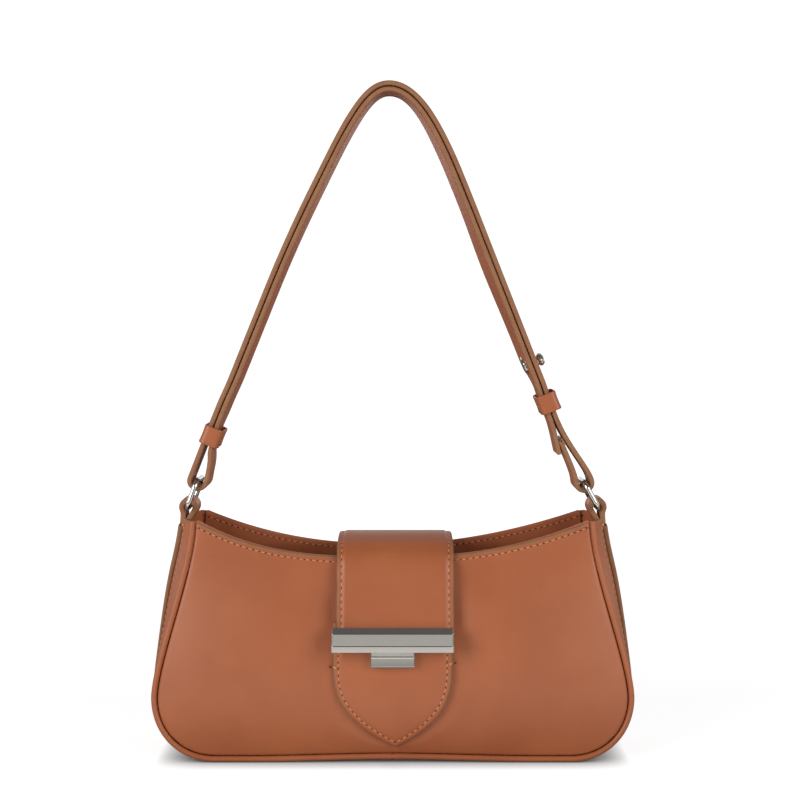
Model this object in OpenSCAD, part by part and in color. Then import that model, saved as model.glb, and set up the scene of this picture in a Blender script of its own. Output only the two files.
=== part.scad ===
// A small shoulder bag: two leather panels and a gusset, an open mouth that dips in the middle,
// a flap with a clasp bar, and a belt strap that lies double on two rings.
// Millimetres. X is to the right, the front faces -Y, and Z is up from the ground at 0.

/* [Body] */
// Width between the panels' top corners, at the seam
mouth_w = 216.4; // [208:0.2:224]
// Width of the panels at their widest, at the seam
belly_w = 258.4; // [250:0.2:268]
// Height of the widest place
belly_z = 36; // [32:1:42]
// Height of the panels' top corners
corner_z = 133.5; // [131:0.5:136]
// How far the mouth dips between its corners
mouth_dip = 19.8; // [16:0.2:23]
// Length of the straight part of the base seam
base_run = 196; // [184:1:204]
// Height of the base seam above the ground
seam_z = 3.8; // [3.6:0.1:5]
// Depth between the panels at the base
base_d = 54; // [50:1:60]
// Depth between the panels at the mouth
mouth_d = 43; // [40:1:46]
// How far each panel swells past a straight line from base to mouth
belly_out = 5.5; // [4:0.5:7]
// How far the gusset stands out in a ridge up each side
ridge_out = 5.2; // [4:0.2:6]
// How much of the ridge is drawn in again at the mouth
ridge_top_in = 1.2; // [0.6:0.1:2]

/* [Leather and lining] */
// Thickness of the panels' leather
panel_t = 1.4; // [1.2:0.1:1.8]
// Thickness of the gusset's leather
gusset_t = 1.4; // [1.2:0.1:1.8]
// Diameter of the piping in the panel seams
piping_d = 3.2; // [2.8:0.1:3.3]
// How far the piping stands in front of the panel
piping_proud = 0.3; // [0:0.1:0.8]
// Thickness of the leather facings inside the mouth
facing_t = 1.2; // [0.9:0.1:1.3]
// Thickness of the lining
lining_t = 0.6; // [0.5:0.1:0.8]
// Thickness of the stiffening board in the base
board_t = 1.8; // [1.4:0.1:2]
// Width of the raised strip up each side
side_strip_w = 16; // [14:0.5:18]
// Thickness of the raised strip at the mouth
side_strip_t = 3.6; // [3:0.1:4]
// Thickness of the raised strip at its lower end
side_strip_low_t = 1.4; // [1.2:0.1:2]

/* [Flap and clasp] */
// Width of the flap
flap_w = 64; // [58:1:70]
// Thickness of the flap's outer leather
flap_t = 1.9; // [1.7:0.1:2.1]
// Thickness of the flap's lining leather
flap_lining_t = 1.3; // [1.1:0.1:1.5]
// Height of the flap's middle layer above the mouth, where it arches over
flap_arch = 8.7; // [7:0.1:10]
// How far the sewn end of the flap reaches down the back
anchor_h = 33; // [28:1:40]
// Width of the pointed tongue on the front panel
tongue_w = 65; // [60:1:70]
// Thickness of the tongue
tongue_t = 2.2; // [2:0.1:2.4]
// Height of the tongue's point above the ground
tongue_tip_z = 11.2; // [10:0.2:14]
// Height where the tongue starts to narrow
tongue_turn_z = 55; // [52:1:58]
// Height of the tongue's upper end
tongue_top_z = 79; // [77:1:81]
// Length of the clasp bar
bar_w = 66; // [60:1:72]
// Height of the clasp bar
bar_h = 13; // [12:0.5:14]
// Thickness of the clasp bar
bar_t = 6.5; // [6:0.1:7.5]
// Height of the clasp bar's middle above the ground
bar_z = 71; // [70:0.5:72]
// Width of the catch plate under the bar
catch_w = 23.8; // [20:0.2:28]
// Height of the catch plate
catch_h = 12.4; // [11.6:0.1:12.6]
// How much of the catch plate shows below the bar
catch_show = 8.7; // [8.4:0.1:9]
// Thickness of the catch plate
catch_t = 4.2; // [3.8:0.1:4.4]

/* [Strap] */
// Width of the strap
strap_w = 20; // [18:0.2:20.4]
// Thickness of one layer of the strap
strap_t = 2.7; // [2.3:0.1:2.9]
// Gap between the strap's two layers
strap_gap = 0.6; // [0.4:0.1:0.8]
// Height of the strap's middle line at its top
strap_top_z = 372.2; // [350:0.2:400]
// Length of a keeper along the strap
keeper_l = 10.5; // [8:0.5:12]
// Thickness of a keeper's leather
keeper_t = 1.2; // [0.9:0.1:1.4]
// Diameter of the ring's wire
wire_d = 3; // [2.6:0.1:3.2]
// Length of a ring between the middles of its end bars
ring_l = 16; // [15:0.5:18]
// Width of a ring between the middles of its side wires
ring_w = 24.4; // [24:0.2:25]
// Width of the tab that holds a ring
tab_w = 14; // [12:0.5:15]
// Diameter of the stud's rounded head
head_d = 7.4; // [6.5:0.1:8]
// Height of the stud's rounded head
head_h = 4.6; // [4:0.1:5]
// Diameter of the stud's disc on the inner side
disc_d = 10.6; // [9:0.1:11]

/* [Hidden] */
$fn = 48;
// Gap between pieces that are sewn, glued or laid together
gap = 0.3;
// Gap between metal and what it is clamped to
seat_gap = 0.1;
// Overrun of every cut
over = 2;

// Shares that place the handles of the panel's outline
corner_share = 0.4;
corner_out_share = 0.56;
corner_up_share = 0.41;
side_low_share = 0.226;
side_low_in_share = 0.05;
side_high_share = 0.708;
side_high_in_share = 0.965;
// Where the panel swells most, as a power of the height
swell_power = 0.75;
// How much smaller than the base its board is, all round
board_margin = 2;
// How sharply the mouth's edges rise to the corners, front and back, and how fast rows start to dip
front_rise_power = 2.9;
back_rise_power = 2.1;
dip_start_power = 1.3;
// Share of the outline at which the facings and the raised strips start
facing_from_share = 0.83;
lining_to_share = 0.86;
strip_from_share = 0.33;
// Heights of the gusset's ridge, as shares of the height from the widest place to the corners
ridge_full_share = 0.62;
ridge_in_share = 0.7;

mouth_z = corner_z - mouth_dip;
flap_all = flap_t + flap_lining_t;
tiny_share = 0.001;

// Tab and ring, on the right-hand side
tab_leaf = 3.5;
tab_r = tab_leaf + wire_d / 2 + seat_gap * 2;
tab_root_t = 2 * tab_leaf;
tab_x = (mouth_w + 2 * seam_z + 2 * ridge_out - 2 * ridge_top_in) / 2 - gusset_t - gap / 2;
tab_root_x = mouth_w / 2 + seam_z + ridge_out - ridge_top_in + gap + side_strip_t - tab_leaf;
ring_rise = 5.7;
ring_z = corner_z + ring_rise;
left_lean = 20;
right_lean = 29;
ring_corner_r = 4;
swing_drop = 0.5;
swing_z = corner_z - swing_drop;
swing_max = 40;
swing_room = 2;
swing_dip = 8;
swing_reach = 30;

// Strap, seen from the front: the places of its middle line between the two layers
arch_h = 47.2;
foot_z = 192.7;
left_foot_x = -96.4;
right_foot_x = 87.7;
left_mid = [-69.2, 259.2];
shoulder_z = strap_top_z - arch_h;
left_shoulder_x = -38.6;
right_shoulder_x = 35;
strap_top_x = -2;
arch_flat = 11;
arch_rise = arch_h * 0.8;
left_part_z = 171;
right_part_z = 189;
loop_r = 4.4;
loop_pull = 6;
fall_pull = 18;
turn_back_pull = 14;
tail_end = [92.7, 169];
turn_back_z = 177.5;
left_keeper_z = 179.5;
right_keeper_z = 197.6;
stud_z = 219.5;
spare_hole_z = 294;

leather = [0.68, 0.42, 0.30];
cloth = [0.42, 0.20, 0.11];
nickel = [0.80, 0.79, 0.76];
steel = [0.62, 0.62, 0.62];

// Curves and small sums
function mix(a, b, t) = a + (b - a) * t;
function smooth(t) = let (c = min(1, max(0, t))) c * c * (3 - 2 * c);
function bezier(a, b, c, d, t) = let (s = 1 - t)
    a * s * s * s + b * 3 * s * s * t + c * 3 * s * t * t + d * t * t * t;
function steps(from, to, count) = [for (i = [0:count]) mix(from, to, i / count)];
function reversed(list) = [for (i = [len(list) - 1:-1:0]) list[i]];
// Unit normals to the left of a flat path
function left_normals(path) = [for (i = [0:len(path) - 1])
    let (d = path[min(len(path) - 1, i + 1)] - path[max(0, i - 1)]) [-d[1], d[0]] / norm(d)];
function shifted(path, by) = let (n = left_normals(path)) [for (i = [0:len(path) - 1]) path[i] + n[i] * by];

// The panel's seam on the right, from the end of the straight base at 0 to the top corner at 1
function seam(s) = s < corner_share
    ? bezier([base_run / 2, seam_z],
             [mix(base_run, belly_w, corner_out_share) / 2, seam_z],
             [belly_w / 2, mix(seam_z, belly_z, corner_up_share)],
             [belly_w / 2, belly_z], s / corner_share)
    : bezier([belly_w / 2, belly_z],
             [mix(belly_w, mouth_w, side_low_in_share) / 2, mix(belly_z, corner_z, side_low_share)],
             [mix(belly_w, mouth_w, side_high_in_share) / 2, mix(belly_z, corner_z, side_high_share)],
             [mouth_w / 2, corner_z], (s - corner_share) / (1 - corner_share));
// The direction straight out from the seam
function seam_out(s) = s <= 0 ? [0, -1]
    : let (d = seam(min(1, s + tiny_share)) - seam(s - tiny_share)) [d[1], -d[0]] / norm(d);
// How far a panel's outer face lies from the middle of the bag, at a place on it
function panel_half(x, z) = let (
    h = (z - seam_z) / (corner_z - seam_z),
    b = min(1, max(0, (z - seam_z) / (mouth_z - seam_z))),
    across = max(0, 1 - pow(2 * x / belly_w, 2)))
    mix(base_d, mouth_d, h) / 2 + belly_out * sin(180 * pow(b, swell_power)) * across;
// A place on a panel: s along the seam, u from -1 to 1 across, reach past the seam
function panel_place(s, u, power, reach) = let (
    p = seam(s) + seam_out(s) * reach,
    lift = pow(max(0, (p[1] - belly_z) / (corner_z - belly_z)), dip_start_power))
    [u * p[0], p[1] - mouth_dip * lift * (1 - pow(abs(u), power))];
// Rows of points on a face that lies depth behind the front panel's outer face
function panel_rows(rows, depth, power, reach = [0, 0]) = [for (s = rows) [for (u = steps(-1, 1, 20))
    let (p = panel_place(s, u, power, mix(reach[0], reach[1], smooth(s / corner_share))))
    [p[0], depth - panel_half(p[0], p[1]), p[1]]]];

// Half the width of the gusset between the two pipings
function gusset_half(p) = panel_half(p[0], p[1]) + piping_proud - piping_d - gap;
// How far the gusset's outer face stands out from the seam, with w from -1 to 1 across it
function ridge(z) = let (h = (z - belly_z) / (corner_z - belly_z))
    ridge_out * smooth(h / ridge_full_share)
    - ridge_top_in * smooth((h - ridge_in_share) / (1 - ridge_in_share));
function gusset_out(s, w) = seam_z + ridge(seam(s)[1]) * (1 - w * w);
// A place on the gusset on the right, and out past its outer face
function gusset_place(s, w, out) = let (p = seam(s), n = seam_out(s))
    [p[0] + n[0] * out, w * gusset_half(p), p[1] + n[1] * out];
// How much closer the lining lies to the inside, for the board under it
function board_room(s) = (board_t + gap) * (1 - smooth(s / corner_share));
gusset_rows = concat(steps(0, corner_share, 7), [for (i = [1:9]) mix(corner_share, 1, i / 9)]);

// A closed sheet between two grids of points, with rows up and columns to the right seen from outside
module sheet(outer, inner) {
    cols = len(outer[0]);
    rows = len(outer);
    n = rows * cols;
    function at(r, c) = r * cols + c;
    function two(a, b, c, d) = [[a, b, c], [a, c, d]];
    polyhedron(
        [for (grid = [outer, inner]) for (row = grid) for (p = row) p],
        [for (r = [0:rows - 2]) for (c = [0:cols - 2]) each concat(
                two(at(r, c), at(r + 1, c), at(r + 1, c + 1), at(r, c + 1)),
                two(n + at(r, c), n + at(r, c + 1), n + at(r + 1, c + 1), n + at(r + 1, c))),
            for (c = [0:cols - 2]) each concat(
                two(at(0, c), at(0, c + 1), n + at(0, c + 1), n + at(0, c)),
                two(at(rows - 1, c + 1), at(rows - 1, c), n + at(rows - 1, c), n + at(rows - 1, c + 1))),
            for (r = [0:rows - 2]) each concat(
                two(at(r + 1, 0), at(r, 0), n + at(r, 0), n + at(r + 1, 0)),
                two(at(r, cols - 1), at(r + 1, cols - 1), n + at(r + 1, cols - 1), n + at(r, cols - 1)))]);
}

// A closed run of rings of points, each in turn against the direction of the run
module run(rings) {
    k = len(rings[0]);
    last = len(rings) - 1;
    polyhedron(
        [for (ring = rings) for (p = ring) p],
        [[for (j = [0:k - 1]) j],
            [for (j = [k - 1:-1:0]) last * k + j],
            for (i = [0:last - 1]) for (j = [0:k - 1])
                let (a = i * k + j, b = i * k + (j + 1) % k) each [[a, a + k, b + k], [a, b + k, b]]]);
}

module along_x(w) rotate([90, 0, 90]) linear_extrude(w, center = true) children();
module along_y(w) rotate([90, 0, 0]) linear_extrude(w, center = true) children();
module both_sides() {
    children();
    mirror([1, 0, 0]) children();
}

// A panel, seen as the front one
module panel(power) sheet(
    panel_rows(gusset_rows, 0, power),
    panel_rows(gusset_rows, panel_t, power));
module front_panel() color(leather) difference() {
    panel(front_rise_power);
    rivet_holes();
}
module back_panel() color(leather) mirror([0, 1, 0]) panel(back_rise_power);

// Piping along a panel's seam, from one top corner round the base to the other
module piping() {
    r = piping_d / 2;
    function ring(side, s) = let (p = seam(s), n = seam_out(s), y = r - piping_proud - panel_half(p[0], p[1]))
        [for (a = [0:45:315]) let (o = gap + r + r * cos(a))
            [side * (p[0] + n[0] * o), y + r * sin(a), p[1] + n[1] * o]];
    run(concat([for (s = reversed(gusset_rows)) ring(-1, s)], [for (s = gusset_rows) ring(1, s)]));
}
module front_piping() color(leather) piping();
module back_piping() color(leather) mirror([0, 1, 0]) piping();

// A band of the gusset on the right, from out to in, past the straight base to the middle
module gusset_band(rows, out, t, to_middle) {
    function row(s, o) = [for (w = steps(-1, 1, 8)) gusset_place(s, w, gusset_out(s, w) + o)];
    function first(o) = [for (p = row(0, o)) [gap / 2, p[1], p[2]]];
    sheet(concat(to_middle ? [first(out)] : [], [for (s = rows) row(s, out)]),
        concat(to_middle ? [first(out - t)] : [], [for (s = rows) row(s, out - t)]));
}
// The room that the tab and the ring need at the top of the gusset, as the strap leans
module gusset_dip() {
    flat = (ring_w + wire_d) / 2 + swing_room / 4;
    along_x(belly_w) polygon([
        [-flat, corner_z - swing_dip], [flat, corner_z - swing_dip],
        [mouth_d / 2, corner_z + over], [-mouth_d / 2, corner_z + over]]);
}
module gusset() color(leather) difference() {
    gusset_band(gusset_rows, 0, gusset_t, true);
    gusset_dip();
}
module gusset_right() gusset();
module gusset_left() mirror([1, 0, 0]) gusset();

// The raised strip up the ridge of the gusset
module side_strip() {
    function thick(s) = mix(side_strip_low_t, side_strip_t,
        smooth((s - strip_from_share) / (1 - strip_from_share)));
    function row(s, t) = [for (y = steps(-1, 1, 4)) let (w = y * side_strip_w / 2 / gusset_half(seam(s)))
        gusset_place(s, w, gusset_out(s, w) + gap + t)];
    rows = [for (s = gusset_rows) if (s > strip_from_share) s];
    color(leather) difference() {
        sheet([for (s = rows) row(s, thick(s))], [for (s = rows) row(s, 0)]);
        tab_swing();
    }
}
module side_strip_right() side_strip();
module side_strip_left() mirror([1, 0, 0]) side_strip();

// The room that the root of the tab sweeps
module tab_swing() {
    r = tab_w / 2 + gap;
    a = swing_max + swing_room;
    low = [r * cos(a), -r * sin(a)];
    high = low + [sin(a), cos(a)] * swing_reach;
    along_x(belly_w) translate([0, swing_z]) {
        circle(r);
        polygon([low, high, [-high[0], high[1]], [-low[0], low[1]]]);
    }
}

// Facings inside the mouth
facing_depth = panel_t + gap;
facing_rows = [for (i = [0:4]) mix(facing_from_share, 1, i / 4)];
module facing(power) color(leather) sheet(
    panel_rows(facing_rows, facing_depth, power),
    panel_rows(facing_rows, facing_depth + facing_t, power));
module front_facing() facing(front_rise_power);
module back_facing() mirror([0, 1, 0]) facing(back_rise_power);
module side_facing() color(leather) difference() {
    gusset_band(facing_rows, -gusset_t - gap, facing_t, false);
    gusset_dip();
}
module side_facing_right() side_facing();
module side_facing_left() mirror([1, 0, 0]) side_facing();

// Lining: one piece on each panel, and one round the gusset
lining_out = seam_z - gusset_t - gap;
lining_depth = facing_depth + facing_t + gap;
lining_rows = concat(steps(0, corner_share, 5), [for (i = [1:5]) mix(corner_share, lining_to_share, i / 5)]);
module lining(power) {
    reach = [lining_out - board_room(0) - lining_t - gap, lining_out - facing_t - gap];
    color(cloth) sheet(
        panel_rows(lining_rows, lining_depth, power, reach),
        panel_rows(lining_rows, lining_depth + lining_t, power, reach));
}
module front_lining() lining(front_rise_power);
module back_lining() mirror([0, 1, 0]) lining(back_rise_power);
module gusset_lining() {
    rows = [for (i = [0:15]) mix(0, facing_from_share - tiny_share * 4, i / 15)];
    function row(side, s, t) = [for (w = steps(-1, 1, 6))
        let (p = gusset_place(s, w, gusset_out(s, w) - gusset_t - gap - board_room(s) - t))
        [side * p[0], p[1], p[2]]];
    function all(t) = concat([for (s = reversed(rows)) row(-1, s, t)], [for (s = rows) row(1, s, t)]);
    color(cloth) sheet(all(0), all(lining_t));
}
module base_board() {
    size = [base_run - 2 * board_margin, base_d - 2 * (piping_d + gap + board_margin), board_t];
    color(cloth) translate([-size[0] / 2, -size[1] / 2, gusset_t + gap]) cube(size);
}

// The tongue: a pointed patch that lies on the front panel
module tongue_patch() {
    fall = tongue_turn_z - tongue_tip_z;
    point_power = 2.65;
    function half(z) = z > tongue_turn_z ? tongue_w / 2
        : tongue_w / 2 * (1 - pow((tongue_turn_z - z) / fall, point_power));
    fall_shares = [0.985, 0.96, 0.9, 0.82, 0.72, 0.6, 0.46, 0.3, 0.15];
    rows = concat([for (k = fall_shares) tongue_turn_z - k * fall], steps(tongue_turn_z, tongue_top_z, 3));
    function row(z, d) = [for (u = steps(-1, 1, 10)) let (x = u * half(z)) [x, -panel_half(x, z) - d, z]];
    color(leather) difference() {
        sheet([for (z = rows) row(z, gap + tongue_t)], [for (z = rows) row(z, gap)]);
        rivet_holes();
    }
}

// The catch, in a frame on the front panel's outer face with Y into the bag
catch_z = bar_z - bar_h / 2 - catch_show + catch_h / 2;
catch_tilt = atan((panel_half(0, catch_z - catch_h / 2) - panel_half(0, catch_z + catch_h / 2)) / catch_h);
catch_back = gap + tongue_t + seat_gap;
rivet_r = 1.2;
catch_rivet_x = catch_w * 0.3;
plate_t = 1;
// Room above the catch plate in the bar
catch_room = 1.1;
module on_panel() translate([0, -panel_half(0, catch_z), catch_z]) rotate([-catch_tilt, 0, 0]) children();
module catch_rivet_places() on_panel() both_sides()
    translate([catch_rivet_x, 0, 0]) rotate([-90, 0, 0]) children();
module rivet_holes() catch_rivet_places() translate([0, 0, -catch_back - over])
    cylinder(r = rivet_r + gap, h = catch_back + panel_t + 2 * over);
module catch_plate() {
    bevel = catch_t / 5;
    groove_z = catch_h * 0.14;
    groove = catch_t / 12;
    color(nickel) on_panel() along_x(catch_w) polygon([
        [-catch_back, -catch_h / 2], [-catch_back - catch_t + bevel, -catch_h / 2],
        [-catch_back - catch_t, -catch_h / 2 + bevel],
        [-catch_back - catch_t, groove_z - groove], [-catch_back - catch_t + groove, groove_z],
        [-catch_back - catch_t, groove_z + groove],
        [-catch_back - catch_t, catch_h / 2], [-catch_back, catch_h / 2]]);
}
module catch_rivets() color(steel) catch_rivet_places() translate([0, 0, -catch_back])
    cylinder(r = rivet_r, h = catch_back + panel_t + seat_gap + plate_t);
module catch_backplate() color(steel) difference() {
    on_panel() translate([-catch_w / 2, panel_t + seat_gap, -catch_h / 3])
        cube([catch_w, plate_t, catch_h * 2 / 3]);
    catch_rivet_places() translate([0, 0, -over])
        cylinder(r = rivet_r + seat_gap / 2, h = panel_t + 2 * plate_t + 2 * over);
}

// The flap's middle line, seen from the side as [y, z], from the hinge to its end under the bar
hinge_y = panel_half(0, mouth_z) + gap + flap_all / 2;
flap_stand = gap + tongue_t + gap + flap_all / 2;
flap_top_z = mouth_z + flap_arch;
flap_hang_z = mouth_z - mouth_dip * 0.7;
flap_flat_z = bar_z + bar_h;
flap_end_z = bar_z - bar_h * 0.1;
function flap_front(z) = [-panel_half(0, z) - flap_stand, z];
hinge_pull = 6;
back_pull = 14;
front_pull = 20;
front_rise = 17;
flap_line = concat(
    [for (i = [0:8]) bezier([hinge_y, mouth_z], [hinge_y, mouth_z + hinge_pull], [back_pull, flap_top_z],
        [0, flap_top_z], i / 8)],
    [for (i = [1:10]) bezier([0, flap_top_z], [-front_pull, flap_top_z],
        flap_front(flap_hang_z) + [gap * 3, front_rise], flap_front(flap_hang_z), i / 10)],
    [for (i = [1:3]) flap_front(mix(flap_hang_z, flap_flat_z, i / 3))],
    [flap_front(flap_end_z)]);
function flap_layer(from, to, first, last) = let (
    a = shifted(flap_line, from), b = shifted(flap_line, to), r = [first:len(flap_line) - 1 - last])
    concat([for (i = r) a[i]], reversed([for (i = r) b[i]]));

// The clasp, in a frame on the flap's outer face at the middle of the bar, with -Y outwards
bar_low = flap_front(flap_end_z);
bar_high = flap_front(flap_flat_z);
bar_tilt = atan((bar_high[0] - bar_low[0]) / (bar_high[1] - bar_low[1]));
bar_y = mix(bar_low[0], bar_high[0], (bar_z - flap_end_z) / (flap_flat_z - flap_end_z))
    - flap_all / 2 / cos(bar_tilt);
module on_flap() translate([0, bar_y, bar_z]) rotate([-bar_tilt, 0, 0]) children();
bar_rivet_x = bar_w * 0.36;
bar_rivet_z = bar_h * 0.2;
module clasp_rivet_places() on_flap() both_sides()
    translate([bar_rivet_x, 0, bar_rivet_z]) rotate([-90, 0, 0]) children();

// The flap's leather ends in a bead round the hinge's axis
module flap() color(leather) difference() {
    r = flap_all / 2;
    outer = shifted(flap_line, -r);
    inner = shifted(flap_line, flap_t - r);
    bead_from = 90 + asin((flap_t - r) / r);
    bead = [for (i = [0:9]) let (a = mix(bead_from, 360, i / 10)) flap_line[0] + r * [cos(a), sin(a)]];
    along_x(flap_w) polygon(concat(outer, [for (i = [len(inner) - 1:-1:1]) inner[i]], bead));
    clasp_rivet_places() translate([0, 0, -over]) cylinder(r = rivet_r + gap / 2, h = flap_t + 2 * over);
}
module flap_lining() color(leather)
    along_x(flap_w) polygon(flap_layer(flap_t - flap_all / 2, flap_all / 2, 2, 1));
module flap_anchor() {
    low_z = mouth_z - anchor_h;
    top_z = mouth_z - flap_all / 2 - gap;
    bevel_h = flap_all * 1.8;
    function outer(z, d) = [panel_half(0, z) + gap + d, z];
    color(leather) along_x(flap_w) polygon(concat(
        [for (z = steps(low_z, top_z, 5)) outer(z, 0)],
        [outer(top_z - bevel_h, flap_all)],
        [for (z = steps(mix(low_z, top_z, 0.6), low_z, 3)) outer(z, flap_all)]));
}

// The bar's outline from the side, as shares of its thickness and its height from the middle
bar_shares = [[0, -0.5], [0.92, -0.5], [1, -0.24], [0.95, -0.225], [1, -0.21], [1, 0.26],
    [0.5, 0.5], [0, 0.5]];
bar_pocket_h = catch_h - catch_show + catch_room;
bar_pocket_t = bar_t * 0.27;
magnet_t = 2;
pocket_w = catch_w + 4 * gap;
module clasp_bar() color(nickel) difference() {
    on_flap() along_x(bar_w)
        polygon([for (p = bar_shares) [-seat_gap - p[0] * (bar_t - seat_gap), p[1] * bar_h]]);
    on_flap() translate([-pocket_w / 2, -bar_pocket_t, -bar_h / 2 - over])
        cube([pocket_w, bar_t, bar_pocket_h + over]);
    on_flap() translate([-catch_w / 2, -bar_pocket_t - magnet_t, -bar_h / 2 + plate_t])
        cube([catch_w, bar_t, bar_pocket_h - plate_t]);
}
module clasp_magnet() color(steel) on_flap()
    translate([-catch_w / 2, -bar_pocket_t - magnet_t, -bar_h / 2 + plate_t] + [seat_gap, seat_gap, seat_gap])
        cube([catch_w - 2 * seat_gap, magnet_t - seat_gap, bar_pocket_h - plate_t - 2 * seat_gap]);
module clasp_backplate() color(steel) difference() {
    on_flap() translate([-bar_w * 0.42, flap_t + seat_gap, -bar_h * 0.08])
        cube([bar_w * 0.84, flap_lining_t - seat_gap, bar_h * 0.5]);
    clasp_rivet_places() translate([0, 0, -over]) cylinder(r = rivet_r + seat_gap / 2, h = flap_all + 2 * over);
}
module clasp_rivets() color(steel) clasp_rivet_places() translate([0, 0, -seat_gap])
    cylinder(r = rivet_r, h = flap_all + seat_gap);

// The tab: the end of the side strip turned round the ring, with a round root that it leans on
module tab() color(leather) difference() {
    union() {
        along_y(tab_w) translate([tab_x, ring_z]) circle(tab_r);
        along_y(tab_w) polygon([
            [tab_root_x - tab_root_t / 2, swing_z], [tab_root_x + tab_root_t / 2, swing_z],
            [tab_x + tab_r, ring_z], [tab_x - tab_r, ring_z]]);
        translate([tab_root_x - tab_root_t / 2, 0, swing_z]) rotate([0, 90, 0])
            cylinder(r = tab_w / 2, h = tab_root_t);
    }
    translate([tab_x, 0, ring_z]) rotate([90, 0, 0])
        cylinder(r = wire_d / 2 + gap, h = tab_w + 2 * over, center = true);
}
module tab_right() tab();
module tab_left() mirror([1, 0, 0]) tab();

// The ring: a rectangle of round wire with round corners, leaning in from the tab
module ring(lean) {
    straight_w = ring_w - 2 * ring_corner_r;
    straight_l = ring_l - 2 * ring_corner_r;
    color(nickel) translate([tab_x, 0, ring_z]) rotate([0, -lean, 0]) {
        for (z = [0, ring_l]) translate([0, 0, z]) rotate([90, 0, 0])
            cylinder(d = wire_d, h = straight_w, center = true);
        for (side = [-1, 1]) translate([0, side * ring_w / 2, ring_l / 2])
            cylinder(d = wire_d, h = straight_l, center = true);
        for (up = [0, 1]) for (side = [0, 1])
            mirror([0, side, 0]) translate([0, straight_w / 2, ring_l / 2]) mirror([0, 0, up])
                translate([0, 0, straight_l / 2]) rotate([90, 0, 90]) rotate_extrude(angle = 90)
                    translate([ring_corner_r, 0]) circle(d = wire_d);
    }
}
module ring_right() ring(right_lean);
module ring_left() mirror([1, 0, 0]) ring(left_lean);

// The strap's middle line, seen from the front as [x, z], from the left leg over the top to the right
function unit(v) = v / norm(v);
left_foot = [left_foot_x, foot_z];
right_foot = [right_foot_x, foot_z];
left_shoulder = [left_shoulder_x, shoulder_z];
right_shoulder = [right_shoulder_x, shoulder_z];
strap_top = [strap_top_x, strap_top_z];
left_up = unit(left_mid - left_foot);
right_up = unit(right_shoulder - right_foot);
left_knee = left_mid + left_up * norm(left_shoulder - left_mid) / 2;
left_top_up = unit(left_shoulder - left_knee);
function on_left(z) = left_foot + left_up * (z - foot_z) / left_up[1];
function on_right(z) = right_foot + right_up * (z - foot_z) / right_up[1];
strap_line = concat(
    [on_left(left_part_z), left_mid],
    [for (i = [1:5]) let (t = i / 5) bezier(left_mid, mix(left_mid, left_knee, 2 / 3),
        mix(left_shoulder, left_knee, 2 / 3), left_shoulder, t)],
    [for (i = [1:9]) bezier(left_shoulder, left_shoulder + left_top_up * arch_rise,
        strap_top - [arch_flat, 0], strap_top, i / 9)],
    [for (i = [1:9]) bezier(strap_top, strap_top + [arch_flat, 0],
        right_shoulder + right_up * arch_rise, right_shoulder, i / 9)],
    [on_right(right_part_z)]);
layer = (strap_t + strap_gap) / 2;
outer_line = shifted(strap_line, layer);
inner_line = reversed(shifted(strap_line, -layer));

// The two loops round the rings, and the belt's whole path from its free tail to its sewn end
function top_bar(lean) = [tab_x - ring_l * sin(lean), ring_z + ring_l * cos(lean)];
right_top = top_bar(right_lean);
left_top = [-top_bar(left_lean)[0], top_bar(left_lean)[1]];
function on_loop(centre, turn) = centre + loop_r * [cos(turn), -sin(turn)];
function under(centre, turn) = [for (i = [1:9]) on_loop(centre, turn * i / 10)];
function joining(a, a_way, a_pull, b, b_way, b_pull, count) = [for (i = [0:count])
    bezier(a, a + a_way * a_pull, b + b_way * b_pull, b, i / count)];
outer_start = outer_line[0];
outer_end = outer_line[len(outer_line) - 1];
inner_start = inner_line[0];
inner_end = inner_line[len(inner_line) - 1];
up = [0, 1];
left_loop_turn = 180 + atan(left_up[0] / left_up[1]);
right_fall = joining(outer_end, -right_up, fall_pull, on_loop(right_top, 0), up, loop_pull, 8);
turn_back_end = [for (i = [0:len(right_fall) - 2]) if (right_fall[i][1] >= turn_back_z
    && right_fall[i + 1][1] < turn_back_z) let (d = unit(right_fall[i + 1] - right_fall[i]))
    [right_fall[i + 1] + [d[1], -d[0]] * (strap_t + gap), -d]][0];
belt = concat(
    joining(tail_end, unit(inner_start - tail_end), loop_pull, inner_start, -right_up, loop_pull, 4),
    [for (i = [1:len(inner_line) - 2]) inner_line[i]],
    joining(inner_end, -left_up, loop_pull / 2, on_loop(left_top, 0), up, loop_pull, 6),
    under(left_top, left_loop_turn),
    joining(on_loop(left_top, left_loop_turn), left_up, loop_pull, outer_start, -left_up, loop_pull, 4),
    [for (i = [1:len(outer_line) - 2]) outer_line[i]],
    right_fall,
    under(right_top, 180),
    joining(on_loop(right_top, 180), up, loop_pull, turn_back_end[0], -turn_back_end[1], turn_back_pull, 8));
module strap() {
    n = left_normals(belt);
    function ring(i) = [for (q = [[1, -1], [1, 1], [-1, 1], [-1, -1]])
        let (p = belt[i] + n[i] * q[1] * strap_t / 2) [p[0], q[0] * strap_w / 2, p[1]]];
    color(leather) difference() {
        run([for (i = [0:len(belt) - 1]) ring(i)]);
        on_right_leg(stud_z) rotate([0, 90, 0])
            cylinder(r = stud_r + gap, h = 2 * strap_t + strap_gap + 2 * over, center = true);
        on_right_leg(spare_hole_z) translate([-strap_t - strap_gap / 2 - over, 0, 0]) rotate([0, 90, 0])
            cylinder(r = stud_r + gap, h = strap_t + strap_gap / 2 + over);
    }
}

// Frames on the straight parts of the legs, with Z up along the leg
left_turn = atan(left_up[0] / left_up[1]);
right_turn = atan(right_up[0] / right_up[1]);
module on_left_leg(z) translate([on_left(z)[0], 0, z]) rotate([0, left_turn, 0]) children();
module on_right_leg(z) translate([on_right(z)[0], 0, z]) rotate([0, right_turn, 0]) children();

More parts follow.
